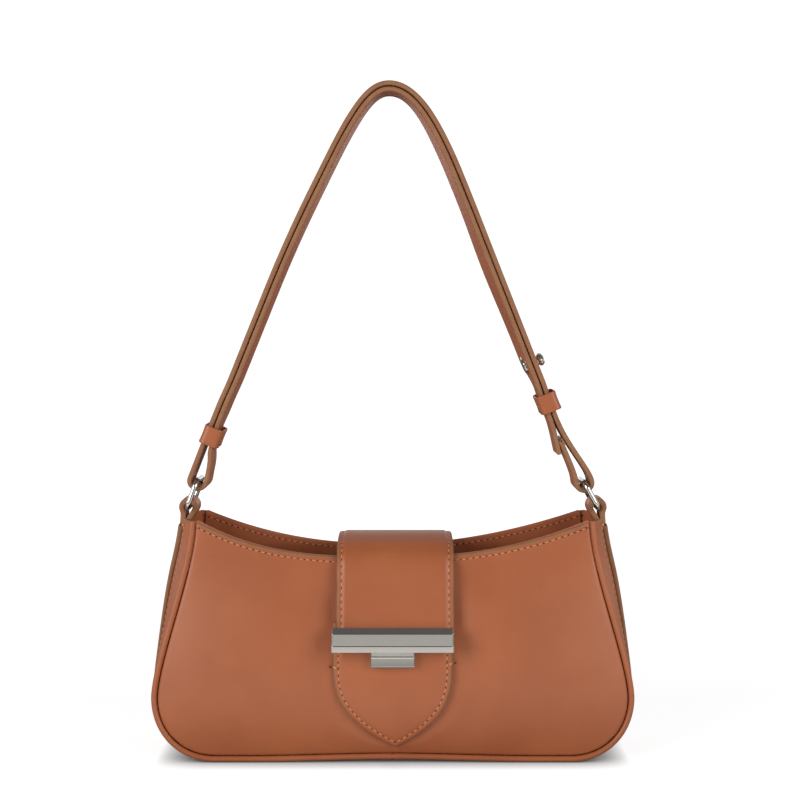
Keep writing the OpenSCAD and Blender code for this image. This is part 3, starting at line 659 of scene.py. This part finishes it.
# Piping: the corded edge of each panel's seam, closed under the middle of the base
def piping_centre(side):
    def centre(t):
        far = 2 * abs(t - 0.5)
        sign = 1 if t > 0.5 else -1
        s = max(0.0, (far - BASE_SHARE) / (1 - BASE_SHARE))
        p = seam(s) if s > 0 else Vector((BASE_HALF * far / BASE_SHARE, SEAM_Z))
        n = seam_out(s)
        reach = GAP + PIPING_R
        x, z = p.x + n.x * reach, p.y + n.y * reach
        middle = Vector((sign * x, side * (half_depth(p.x, p.y) + PIPING_PROUD - PIPING_R), z + arch_lift(x, z)))
        return middle, Vector((sign * n.x, 0, n.y)), Vector((0, 1, 0))
    return centre


def piping_radius(t):
    """Slightly thicker beside the join under the middle, and nipped in at it."""
    x = abs(t - 0.5) * 2 * BASE_HALF / BASE_SHARE
    return PIPING_R * (1 + 0.10 * exp(-(x / 9) ** 2) - 0.22 * exp(-(x / 0.7) ** 2))


for name, side in (("front", -1), ("back", 1)):
    finished(tube(14, 620, piping_centre(side), piping_radius), f"{name}_piping_leather", "bag",
             [CALF], [f"{name}_piping"])


# The tongue on the front panel: its point is sewn a little to the right
def tongue_skew(z):
    return TONGUE_SKEW * (1 - smooth((z - TONGUE_TIP_Z) / 36))


def tongue_place(u, v, w):
    z = mix(TONGUE_TIP_Z + 0.1, TONGUE_TOP_Z, v**1.5)
    half = tongue_half(z)
    x = (2 * u - 1) * half
    slope = tongue_half(z + 0.05) - tongue_half(z - 0.05) if z > TONGUE_TIP_Z + 0.05 else 3
    rim = (half - abs(x)) / hypot(1, slope * 10)
    plump = 0.3 * smooth((rim - 2.8) / 2.4) - 0.14 * exp(-((rim - TONGUE_STITCH_IN) / 0.5) ** 2)
    height = TONGUE_T - 0.3 + plump - fall(rim, 1.6, 1.3)
    return Vector((x + tongue_skew(z), front_y(x, z) - 0.08 - (1 - w) * height, z))


tongue_columns = spaced(2 * TONGUE_HALF, 36, (0.15, 0.45, 0.9, 1.3, 1.8, 2.2, 2.5, 2.8, 3.1, 3.6, 4.4, 5.2))
paint = PAINT_W / (2 * TONGUE_HALF)
finished(shaped(slab(tongue_columns, 110), tongue_place, (paint, paint, 0, 0)), "tongue_leather", "bag",
         [CALF, EDGE], ["tongue_patch"])


# The flap: from its sewn end on the back, over the mouth, to its end under the bar, as (y, z)
HINGE = Vector((half_depth(0, MOUTH_Z) + GAP + FLAP_ALL / 2, MOUTH_Z))
FLAP_STAND = GAP + TONGUE_T + GAP + FLAP_ALL / 2
FLAP_TOP = Vector((0, MOUTH_Z + FLAP_ARCH))


def flap_front(z):
    return Vector((-half_depth(0, z) - FLAP_STAND, z))


HANG = flap_front(MOUTH_Z - MOUTH_DIP * 0.7)
FLAP_END = flap_front(BAR_Z - BAR_H * 0.1)
FLAP_FLAT = flap_front(BAR_Z + BAR_H)
anchor_line = [Vector((half_depth(0, z) + GAP + FLAP_ALL / 2, z))
               for z in (mix(MOUTH_Z - ANCHOR_H, MOUTH_Z, t) for t in shares(16))]
back_arch = curve(HINGE, HINGE + Vector((0, 6)), FLAP_TOP + Vector((14, 0)), FLAP_TOP, 20)[1:]
front_arch = curve(FLAP_TOP, FLAP_TOP - Vector((20, 0)), HANG + Vector((0.9, 17)), HANG, 26)[1:]
flap_fall = [flap_front(mix(HANG.y, FLAP_FLAT.y, t)) for t in shares(6)[1:]] + [FLAP_END]
flap_route = Route(anchor_line + back_arch + front_arch + flap_fall)
lining_route = Route(back_arch[3:] + front_arch + flap_fall)


def flap_leaf(route, outer, thick, outside):
    """A leaf of the flap, that far out from the middle line. The outer leaf is padded inside its stitches."""
    def place(u, v, w):
        p, d = route.at(v)
        x = (2 * u - 1) * FLAP_HALF
        rim = FLAP_HALF - abs(x)
        if outside:
            end = v * route.length
            pad = 0.55 * smooth((rim - 2.7) / 2.0) - 0.16 * exp(-((rim - FLAP_STITCH_IN) / 0.5) ** 2)
            shift = (1 - w) * (pad - 0.35 - fall(min(rim, end), 1.7, 1.3)) - w * thick
        else:
            shift = w * (fall(rim, 1.0, 0.8) - thick)
        p = p - left_of(d) * (outer + shift)
        return Vector((x + FLAP_SHIFT, p.x, p.y))
    return place


flap_columns = spaced(2 * FLAP_HALF, 34, (0.12, 0.4, 0.8, 1.2, 1.7, 2.2, 2.5, 2.8, 3.1, 3.5, 4.0, 4.6, 5.2))
flap_place = flap_leaf(flap_route, FLAP_ALL / 2, FLAP_T, True)
flap_lining_place = flap_leaf(lining_route, FLAP_ALL / 2 - FLAP_T, FLAP_LINING_T, False)
FLAP_HINGE = ("bag", "flap", (0, 0.0250, 0), (0, 0.0190, 0))
paint = PAINT_W / (2 * FLAP_HALF)
finished(shaped(slab(flap_columns, spaced(flap_route.length, 170, end=False)), flap_place,
                (paint, paint, PAINT_W / flap_route.length, 0)),
         "flap_leather", FLAP_HINGE, [CALF, EDGE], ["flap", "flap_anchor"])
finished(shaped(slab(spaced(2 * FLAP_HALF, 30), 90), flap_lining_place), "flap_lining_leather", "flap",
         [CALF, EDGE], ["flap_lining"])


# Side strips: each runs up the gusset's ridge, round its ring, and down again into the gusset's top
STRIP_FROM, STRIP_TO = 0.33, 0.955
STRIP_PAINT = 0.035


def strip_thick(s):
    """The strip is pared thin at its lower end."""
    return mix(1.4, 3.0, smooth((s - STRIP_FROM) / (STRIP_TO - STRIP_FROM)))


strip_line = []
for s in (mix(STRIP_FROM, STRIP_TO, t) for t in shares(60)):
    p, n = seam(s), seam_out(s)
    strip_line.append(p + n * (SEAM_Z + ridge(p.y) + 0.1 + strip_thick(s) / 2))
ring_centre = Vector((TAB_X, RING_Z))
NECK_OUT, NECK_IN = Vector((117.75, 130.6)), Vector((114.75, 130.6))
TAB_ROOT = Vector((116.7, 121.5))
strip_up = (strip_line[-1] - strip_line[-2]).normalized()
loop_arc = [ring_centre + TAB_MID_R * ray(radians(mix(-28, 208, t))) for t in shares(30)]
loop_start, loop_end = ((loop_arc[k + 1] - loop_arc[k]).normalized() for k in (0, -2))
outer_rise = (joining(strip_line[-1], strip_up, 2, NECK_OUT, -UP, 2, 8)[1:]
              + joining(NECK_OUT, UP, 2, loop_arc[0], -loop_start, 2, 8)[1:-1])
inner_fall = (joining(loop_arc[-1], loop_end, 2, NECK_IN, UP, 2, 8)[1:]
              + joining(NECK_IN, -UP, 3, TAB_ROOT, UP, 3, 8)[1:])
strip_route = Route(strip_line + outer_rise + loop_arc + inner_fall)
STRIP_SHARE = Route(strip_line).length / strip_route.length


def strip_place(u, v, w):
    p, d = strip_route.at(v)
    s = mix(STRIP_FROM, STRIP_TO, min(1.0, v / STRIP_SHARE))
    thick = mix(strip_thick(s), TAB_T, smooth((v - STRIP_SHARE) / (1 - STRIP_SHARE) * 6))
    half = mix(SIDE_STRIP_HALF, TAB_HALF, smooth((v / STRIP_SHARE - 0.75) / 0.25))
    y = (2 * u - 1) * half
    p = p - left_of(d) * (thick / 2 - fall(half - abs(y), 0.9, thick * 0.3)) * (1 - 2 * w)
    return Vector((p.x, y, p.y))


STRAP_LEAN = ("bag", "strap", (0, 0, 0.126), (0, 0, 0.134))
strip_columns = spaced(2 * SIDE_STRIP_HALF, 8, (0.12, 0.35, 0.7, 1.1))
for side in ("right", "left"):
    finished(shaped(slab(strip_columns, 190), strip_place, (STRIP_PAINT, STRIP_PAINT, 0, 0), inside=True),
             f"side_strip_leather_{side}", STRAP_LEAN, [CALF, EDGE],
             [f"side_strip_{side}", f"tab_{side}"], mirrored=side == "left")


# The strap: one belt, from its free tail up the inner layer, round the left ring, back over the outer layer,
# round the right ring and up to its sewn end, as (x, z)
STRAP_TOP = Vector((-2, 371.6))
SHOULDER_Z = 325.0
# Where the two layers part to go round the rings, and where the sewn end turns back
LEFT_PART_Z, RIGHT_PART_Z, TURN_BACK_Z = 171, 189, 177.5
ARCH_RISE, ARCH_FLAT = 37.76, 11
LEFT_WAY = Vector((-1, 0))
left_foot, right_foot = Vector((-96.4, 192.7)), Vector((87.7, 192.7))
left_mid = Vector((-69.2, 259.2))
left_shoulder, right_shoulder = Vector((-38.6, SHOULDER_Z)), Vector((35, SHOULDER_Z))
left_up = (left_mid - left_foot).normalized()
right_up = (right_shoulder - right_foot).normalized()
left_knee = left_mid + left_up * (left_shoulder - left_mid).length / 2
left_top_up = (left_shoulder - left_knee).normalized()


def on_left(z):
    return left_foot + left_up * (z - left_foot.y) / left_up.y


def on_right(z):
    return right_foot + right_up * (z - right_foot.y) / right_up.y


strap_line = ([on_left(mix(LEFT_PART_Z, left_mid.y, t)) for t in shares(10)]
              + curve(left_mid, mix(left_mid, left_knee, 2 / 3), mix(left_shoulder, left_knee, 2 / 3),
                      left_shoulder, 16)[1:]
              + joining(left_shoulder, left_top_up, ARCH_RISE, STRAP_TOP, LEFT_WAY, ARCH_FLAT, 28)[1:]
              + joining(STRAP_TOP, -LEFT_WAY, ARCH_FLAT, right_shoulder, right_up, ARCH_RISE, 28)[1:]
              + [on_right(mix(SHOULDER_Z, RIGHT_PART_Z, t)) for t in shares(20)[1:]])
LAYER = (STRAP_T + STRAP_GAP) / 2
outer_line = shifted(strap_line, LAYER)
inner_line = shifted(strap_line, -LAYER)[::-1]
right_ring = ring_centre + RING_L * Vector((-sin(RIGHT_LEAN), cos(RIGHT_LEAN)))
left_ring = Vector((-ring_centre.x, ring_centre.y)) + RING_L * Vector((sin(LEFT_LEAN), cos(LEFT_LEAN)))
LOOP_R = 4.4
LOOP_PULL, FALL_PULL, TURN_BACK_PULL = 6, 18, 14


def on_loop(centre, turn):
    return centre + LOOP_R * Vector((cos(turn), -sin(turn)))


def under(centre, turn):
    return [on_loop(centre, turn * t) for t in shares(20)[1:-1]]


left_turn = pi + atan2(left_up.x, left_up.y)
right_fall = joining(outer_line[-1], -right_up, FALL_PULL, on_loop(right_ring, 0), UP, LOOP_PULL, 24)
turn_at = next(i for i, p in enumerate(right_fall) if p.y < TURN_BACK_Z)
turn_way = (right_fall[turn_at] - right_fall[turn_at - 1]).normalized()
turn_back = right_fall[turn_at] - left_of(turn_way) * (STRAP_T + GAP)
tail_end = Vector((92.7, 169))
tail_way = (inner_line[0] - tail_end).normalized()
belt = Route(joining(tail_end, tail_way, LOOP_PULL, inner_line[0], -right_up, LOOP_PULL) + inner_line[1:-1]
             + joining(inner_line[-1], -left_up, LOOP_PULL / 6, on_loop(left_ring, 0), UP, LOOP_PULL)
             + under(left_ring, left_turn)
             + joining(on_loop(left_ring, left_turn), left_up, LOOP_PULL, outer_line[0], -left_up, LOOP_PULL)
             + outer_line[1:-1] + right_fall + under(right_ring, pi)
             + joining(on_loop(right_ring, pi), UP, LOOP_PULL, turn_back, -turn_way, TURN_BACK_PULL))


LEFT_TWIST, RIGHT_TWIST, RIGHT_EXTRA_TWIST = 1.0, 2.3, 1.0
RIGHT_EXTRA_Z = 272
LEFT_BOW, LEFT_BOW_Z = 2.4, 166
ARM_DRIFT = 0.6


def belt_twist(p):
    """How far the belt's back edge leans into the arch: both arms hang slightly turned."""
    if p.x < 0:
        return LEFT_TWIST * smooth(-p.x / 30) * smooth((p.y - 176) / 20)
    right = RIGHT_TWIST + RIGHT_EXTRA_TWIST * exp(-((p.y - RIGHT_EXTRA_Z) / 26) ** 2)
    return -right * smooth(p.x / 30) * smooth((p.y - 205) / 16)


def left_bow(p):
    """The left arm's inner layer bows out below its keeper."""
    if p.x > 0 or p.y > 200:
        return 0.0
    return LEFT_BOW * exp(-((p.y - LEFT_BOW_Z) / 11) ** 2) * smooth((p.x - on_left(p.y).x) / 1.5)


def belt_place(u, v, w):
    p, d = belt.at(v)
    y = (1 - 2 * u) * STRAP_HALF
    drift = ARM_DRIFT * smooth((abs(p.x) - 25) / 20) * smooth((p.y - 196) / 16)
    p = p + Vector((drift + left_bow(p) + belt_twist(p) * (y / STRAP_HALF + 1) / 2, 0))
    ends = min(v, 1 - v) * belt.length
    p = p + left_of(d) * (STRAP_T / 2 - fall(min(STRAP_HALF - abs(y), ends), 1.0, 0.95)) * (1 - 2 * w)
    return Vector((p.x, y, p.y))


belt_columns = spaced(2 * STRAP_HALF, 8, (0.12, 0.35, 0.7, 1.2))
belt_rows = spaced(belt.length, 900, (0.12, 0.35, 0.7, 1.2))
finished(shaped(slab(belt_columns, belt_rows), belt_place, (STRIP_PAINT, STRIP_PAINT, 0.0005, 0.0005), inside=True),
         "strap_leather", "strap", [CALF, EDGE], ["strap"])


def seam_on(place, u, v, lift=0.0):
    """A point on a piece's outer face and the way out there."""
    outer, inner = place(u, v, 0), place(u, v, 1)
    out = (outer - inner).normalized()
    return outer + out * lift, out


# Keepers: short loops of leather round both layers
def keeper_outline(out, loose):
    """Points round the keeper, that far out from the strap: x through the strap and y across it."""
    r = KEEPER_R + out
    corner = KEEPER_HALF + Vector((loose, 0)) - Vector((KEEPER_R, KEEPER_R))
    return [Vector((sx * corner.x, sy * corner.y)) + r * ray(radians(90 * (k + t)))
            for k, (sx, sy) in enumerate(((1, 1), (-1, 1), (-1, -1), (1, -1))) for t in shares(6)]


def keeper_place(foot, up, z, loose, drop):
    middle = foot + up * (z - foot.y) / up.y
    across = Vector((up.y, -up.x))

    def place(u, v, w):
        flare = 0.3 * abs(2 * v - 1) ** 3
        ring = keeper_outline((1 - w) * (KEEPER_T - fall(min(v, 1 - v) * KEEPER_L, 0.9, 0.5)) + flare, loose)
        p = Route(ring + ring[:1]).at(u)[0]
        flat = middle + up * KEEPER_L * (v - 0.5) + across * (p.x + drop)
        return Vector((flat.x, p.y, flat.y))
    return place


for side, foot, up, z, loose, drop in (("left", left_foot, left_up, 179.5, 0.9, 0.9),
                                       ("right", right_foot, right_up, 197.6, 1.2, 0.8)):
    wrap = keeper_place(foot, up, z, loose, drop)
    finished(shaped(slab(56, spaced(KEEPER_L, 8)), wrap, closed=True), f"keeper_leather_{side}",
             f"keeper_{side}", [CALF, EDGE], [f"keeper_{side}"])
    # Its stitches, at the places where they show from the front
    inner = 0.75 if side == "left" else 0.48
    stitched(f"keeper_stitches_{side}", f"keeper_{side}",
             [(lambda t, wrap=wrap, u=inner + step, v=v: seam_on(wrap, u, mix(v - 0.05, v + 0.05, t), 0.3))
              for step in (-0.012, 0.012) for v in (0.14, 0.5)],
             pitch=1.2, thread_r=0.45, thread=TACK_THREAD)


# Stitching
def on_place(place, uv):
    """A line on a piece's outer face, where uv(t) gives its place on the face."""
    return lambda t: seam_on(place, *uv(t))


def mouth_line(side, rise, depth, facing_out):
    """A line along the mouth, a stitch's margin under its edge, on the outer face or the facing."""
    def line(t):
        u = mix(-0.985, 0.985, t)
        x, edge = panel_at(u, 1, rise)
        z = edge - STITCH_IN
        y = side * (half_depth(x, z) + slack(side * x, z) - depth)
        return Vector((x, y, z)), Vector((0, side * facing_out, 0))
    return line


stitched("front_mouth_stitches", "bag", [mouth_line(-1, FRONT_RISE, 0, 1)])
stitched("back_mouth_stitches", "bag", [mouth_line(1, BACK_RISE, 0, 1)])
stitched("facing_stitches", "bag", [mouth_line(1, BACK_RISE, FACING_DEPTH + FACING_T, -1),
                                    mouth_line(-1, FRONT_RISE, FACING_DEPTH + FACING_T, -1)])
FLAP_BORDER = FLAP_STITCH_IN / (2 * FLAP_HALF)


def flap_stitch(side_share, from_share, to_share):
    return on_place(flap_place, lambda t: (side_share, mix(from_share, to_share, t)))


ANCHOR_SHARE = Route(anchor_line).length / flap_route.length
flap_sides = (FLAP_BORDER, 1 - FLAP_BORDER)
stitched("flap_stitches", "flap", [flap_stitch(u, ANCHOR_SHARE + 0.09, 0.985) for u in flap_sides], FLAP_PITCH)
stitched("anchor_stitches", "bag",
         [flap_stitch(u, 0.02, ANCHOR_SHARE - 0.02) for u in flap_sides]
         + [on_place(flap_place, lambda t, v=v: (mix(*flap_sides, t), v)) for v in (0.022, ANCHOR_SHARE - 0.03)])

# The tongue's stitch line keeps its distance from the edge: on each side one half, from the tongue's point up
tongue_edge = [Vector((tongue_half(z), z)) for z in (mix(TONGUE_TIP_Z, TONGUE_TOP_Z, t**1.6) for t in shares(90))]
tongue_inner = [p for p in shifted(tongue_edge, TONGUE_STITCH_IN) if p.x > 0]
tongue_route = Route(tongue_inner)


def on_tongue(x, z):
    over = 1 - smooth((abs(x) - TONGUE_HALF + 1.2) / 1.4)
    at = Vector((x + tongue_skew(z), front_y(x, z) - 0.08 - (TONGUE_T - 0.4) * over, z))
    return at, Vector((0, -1, (half_depth(x, z - 1) - half_depth(x, z + 1)) / -2)).normalized()


def tongue_line(side):
    def line(t):
        p = tongue_route.at(t)[0]
        return on_tongue(side * p.x, p.y)
    return line


# The catch is framed by stitches whose lower corners aren't quite level
BOX_HALF = 16.2
BOX_LOW, BOX_HIGH = (57.8, 58.8), 70.0


def box_line(a, b):
    return lambda t: on_tongue(*mix(Vector(a), Vector(b), t))


box_corners = [(-BOX_HALF, BOX_HIGH), (-BOX_HALF, BOX_LOW[0]), (BOX_HALF, BOX_LOW[1]), (BOX_HALF, BOX_HIGH)]
stitched("tongue_stitches", "bag", [tongue_line(-1), tongue_line(1)])
stitched("catch_box_stitches", "bag", [box_line(a, b) for a, b in zip(box_corners, box_corners[1:])])
# A short tack at each of the tongue's shoulders, as (side, height)
TACK_Z = ((-1, 54.6), (1, 56.8))
stitched("tongue_tack_stitches", "bag",
         [lambda t, side=side, z=z, row=row: on_tongue(side * mix(29.4, 34.2, t), z + row * 0.4)
          for side, z in TACK_Z for row in (-0.5, 0.5)], pitch=4.8, thread_r=0.42, thread=TACK_THREAD)


# Bar tacks on both edges of each tab's neck, and a row on the gusset beside each edge of the strips
NECK_FROM, NECK_TO, NECK_Z = 115.9, 118.9, 129.2


def neck_tack(row, front):
    y = front * (TAB_HALF + 0.2)
    return lambda t: (Vector((mix(NECK_FROM, NECK_TO, t), y, NECK_Z + row)), Vector((0, front, 0)))


def strip_seam(front):
    return on_place(gusset_place, lambda t: (0.5 + front * 0.32, mix(0.72, 0.985, t)))


neck_tacks = [neck_tack(row, front) for row in (-0.35, 0.35) for front in (-1, 1)]
for side in ("right", "left"):
    stitched(f"neck_tack_stitches_{side}", "bag", neck_tacks, pitch=3.0, thread_r=0.4, thread=TACK_THREAD,
             mirrored=side == "left")
    stitched(f"strip_seam_stitches_{side}", "bag", [strip_seam(-1), strip_seam(1)], thread_r=0.3,
             mirrored=side == "left")


# Hardware: the stud and the hidden pieces keep their solids, and the bar, the catch and the rings are drawn finer
def kept(name, material):
    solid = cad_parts[name]
    solid.data.materials.clear()
    solid.data.materials.append(material)


def eased_outline(points, r):
    """An outline with each corner cut back by r and a point between the cuts."""
    out = []
    for i, p in enumerate(points):
        before, after = points[i - 1] - p, points[(i + 1) % len(points)] - p
        a, b = (p + q.normalized() * min(r, q.length * 0.4) for q in (before, after))
        out += [a, (a + b + p * 0.8) / 2.8, b]
    return out


def polished_block(name, body, half, outline, centre, tilt, high_r, low_r, chamfer, replaces):
    """An outline of (outwards, up) drawn along x, with rounded corners seen from the front and chamfered ends."""
    outline = eased_outline([Vector(p) for p in outline], 0.14)
    high, low = max(p.y for p in outline), min(p.y for p in outline)
    front = max(p.x for p in outline)
    steps = (0, 0.08, 0.2, 0.4, 0.7, 1.0, 1.3)
    bm = bmesh.new()
    rings = []
    for x, e in [(-half + e, e) for e in steps] + [(half - e, e) for e in reversed(steps)]:
        ring = []
        for p in outline:
            up = min(p.y, high - fall(e, high_r, high_r)) if high_r else p.y
            up = max(up, low + fall(e, low_r, low_r)) if low_r else up
            out = min(p.x, front - max(0.0, chamfer - e))
            ring.append(bm.verts.new((x, centre.x - out * cos(tilt) + up * sin(tilt),
                                      centre.y + out * sin(tilt) + up * cos(tilt))))
        rings.append(ring)
    count = len(outline)
    for a, b in zip(rings, rings[1:]):
        for i in range(count):
            bm.faces.new((a[i], a[(i + 1) % count], b[(i + 1) % count], b[i]))
    bm.faces.new(rings[0])
    bm.faces.new(rings[-1][::-1])
    bmesh.ops.remove_doubles(bm, verts=bm.verts, dist=0.0005)
    bmesh.ops.recalc_face_normals(bm, faces=bm.faces)
    return finished(bm, name, body, [NICKEL], replaces, sharp=5)


bar_tilt = atan((FLAP_FLAT.x - FLAP_END.x) / (FLAP_FLAT.y - FLAP_END.y))
bar_y = mix(FLAP_END.x, FLAP_FLAT.x, (BAR_Z - FLAP_END.y) / (FLAP_FLAT.y - FLAP_END.y))
bar_outline = [(a * BAR_T + 0.1, b * BAR_H) for a, b in
               ((0, -0.5), (0.92, -0.5), (1, -0.245), (0.9, -0.23), (1, -0.215), (1, 0.26), (0.5, 0.5), (0, 0.5))]
polished_block("clasp_bar_plate", "flap", BAR_HALF, bar_outline,
               Vector((bar_y - FLAP_ALL / 2 / cos(bar_tilt), BAR_Z)), bar_tilt, 1.2, 0.4, 0.6, ["clasp_bar"])
catch_tilt = atan((half_depth(0, CATCH_Z - CATCH_H / 2) - half_depth(0, CATCH_Z + CATCH_H / 2)) / CATCH_H)
catch_outline = [(a, b * CATCH_H) for a, b in
                 ((2.6, -0.56), (2.4 + CATCH_T * 0.85, -0.56), (2.4 + CATCH_T, -0.5), (2.4 + CATCH_T, -0.13),
                  (2.6 + CATCH_T, -0.085), (2.1 + CATCH_T, -0.065), (2.6 + CATCH_T, -0.045), (2.6 + CATCH_T, 0.5),
                  (2.6, 0.5))]
polished_block("catch_plate_face", "bag", CATCH_HALF, catch_outline, Vector((-half_depth(0, CATCH_Z), CATCH_Z)),
               catch_tilt, 0, 1.0, 0.45, ["catch_plate"])
ring_path = [Vector((0, 0))]
for side, top, start in ((1, 0, -90), (1, 1, 0), (-1, 1, 90), (-1, 0, 180)):
    corner = Vector((side * (RING_W / 2 - RING_CORNER), mix(RING_CORNER, RING_L - RING_CORNER, top)))
    ring_path += [corner + RING_CORNER * ray(radians(start + 90 * t)) for t in shares(16)]
ring_route = Route(ring_path + ring_path[:1])


def ring_wire(side, lean):
    """The middle of a ring's wire, which leans from its tab towards the arch."""
    flat = Vector((0, 1, 0))
    up = Vector((-side * sin(lean), 0, cos(lean)))

    def centre(t):
        p, d = ring_route.at(t)
        return (Vector((side * TAB_X, 0, RING_Z)) + flat * p.x + up * p.y, flat * d.y - up * d.x, flat.cross(up))
    return centre


for name, side, lean in (("left", -1, LEFT_LEAN), ("right", 1, RIGHT_LEAN)):
    finished(tube(20, 150, ring_wire(side, lean), lambda t: WIRE_R), f"ring_wire_{name}", f"ring_{name}",
             [NICKEL], [f"ring_{name}"])
for name in ("strap_stud", "strap_stud_screw"):
    kept(name, NICKEL)
for name in ("catch_backplate", "catch_rivets", "clasp_magnet", "clasp_backplate", "clasp_rivets"):
    kept(name, STEEL)
kept("base_board", BOARD)


# Floor, light and camera
def studio_board(tree, place):
    """Matt board of a white sweep. The camera sees it glow, a little brighter with the distance, with a painted
    shadow from ambient occlusion close to what stands on it. To the bag it gives back most from a strip 0.1 to 0.3 m
    before it and from beyond 0.7 m."""
    seen = add(tree, "LightPath", {}).outputs["Is Camera Ray"]
    y = add(tree, "SeparateXYZ", {"Vector": place}).outputs["Y"]
    # Each changes from one value to another between two places before the bag (negative) or behind it, in metres
    near, under, far, strip, deep = (
        add(tree, "MapRange", {"Value": y, "From Min": a, "From Max": b, "To Min": low, "To Max": high})
        for a, b, low, high in ((-0.5, -0.2, 0.12, 0.9), (-0.12, -0.04, 0.0, 0.5), (-1.0, -0.7, 0.7, 0.0),
                                (-0.3, -0.22, 0.0, 0.5), (0.1, 0.8, 0.86, 1.05)))
    white = add(tree, "Math", {0: near, 1: under}, operation="SUBTRACT")
    lit = add(tree, "Math", {0: far, 1: strip}, operation="ADD")
    left = add(tree, "Math", {0: under, 1: -1.0, 2: lit}, operation="MULTIPLY_ADD")
    matt = add(tree, "BsdfDiffuse", {"Color": white})
    own_glow = add(tree, "Emission", {"Strength": left})
    given_back = add(tree, "AddShader", {0: matt, 1: own_glow})
    # The camera's glow is darkened by ambient occlusion: a painted shadow under and beside the bag
    open_sky = add(tree, "AmbientOcclusion", {"Distance": 0.013}, samples=12)
    painted_floor_shadow = add(tree, "Math", {0: open_sky.outputs["AO"], 1: 1.3}, operation="POWER")
    through = add(tree, "Math", {0: deep, 1: painted_floor_shadow}, operation="MULTIPLY")
    board = add(tree, "BsdfDiffuse", {"Color": (0.3, 0.3, 0.3, 1)})
    glow = add(tree, "Emission", {"Strength": through})
    shown = add(tree, "AddShader", {0: board, 1: glow})
    return add(tree, "MixShader", {0: seen, 1: given_back, 2: shown})


def studio_world():
    """White surroundings for the camera. The bag mirrors a dim grey, lighter at the horizon and towards +Y."""
    world = bpy.data.worlds.new("studio")
    bpy.context.scene.world = world
    world.use_nodes = True
    tree = world.node_tree
    tree.nodes.clear()
    seen = add(tree, "LightPath", {}).outputs["Is Camera Ray"]
    way = add(tree, "TexCoord", {}).outputs["Generated"]
    parts = add(tree, "SeparateXYZ", {"Vector": way}).outputs
    height, behind, horizon = (
        add(tree, "MapRange", {"Value": parts[axis], "From Min": a, "From Max": b, "To Min": low, "To Max": high})
        for axis, a, b, low, high in (("Z", 0.1, 0.35, 0.24, 0.1), ("Y", 0.0, 0.5, 1.0, 4.2),
                                      ("Z", 0.05, 0.12, 0.28, 0.0)))
    grey = add(tree, "Math", {0: height, 1: behind, 2: horizon}, operation="MULTIPLY_ADD")
    shown = add(tree, "Mix", {0: seen, 2: grey, 3: 1.1})
    sky = add(tree, "Background", {"Color": (1, 1, 1, 1), "Strength": shown})
    add(tree, "OutputWorld", {"Surface": sky})


FLOOR_R = 9.0
floor_bm = bmesh.new()
bmesh.ops.create_circle(floor_bm, cap_ends=True, segments=64, radius=FLOOR_R)
floor_mesh = bpy.data.meshes.new("studio_floor")
floor_bm.to_mesh(floor_mesh)
floor_bm.free()
floor_mesh.materials.append(made_of("studio_board", studio_board))
in_scene("studio_floor", floor_mesh)
studio_world()

# Two soft boxes in front of the bag, aimed at the middle of its body
AIM = Vector((0, 0, 0.12))
BOX_AT = Vector((1.03, -0.95, 0.58))
BOX_W, BOX_H = 0.75, 1.0
for name, side, watts in (("side_box_left", -1, 13.6), ("side_box_right", 1, 10.6)):
    box = bpy.data.lights.new(name, "AREA")
    box.shape = "RECTANGLE"
    box.size, box.size_y = BOX_W, BOX_H
    box.energy = watts
    light = in_scene(name, box)
    light.location = (side * BOX_AT.x, BOX_AT.y, BOX_AT.z)
    light.rotation_euler = (AIM - light.location).to_track_quat("-Z", "Y").to_euler()

# The camera stands where the photograph's perspective puts it
CAMERA_AT = (0.004, -0.762, 0.250)
CAMERA_TILT = radians(90 - 3.839)
CAMERA_LENS = 61.19
CAMERA_FILM = 36
camera_data = bpy.data.cameras.new("camera")
camera_data.lens = CAMERA_LENS
camera_data.sensor_width = CAMERA_FILM
camera = in_scene("camera", camera_data)
camera.location = CAMERA_AT
camera.rotation_euler = (CAMERA_TILT, 0, 0)
bpy.context.scene.camera = camera
bpy.context.scene.view_settings.view_transform = "Standard"
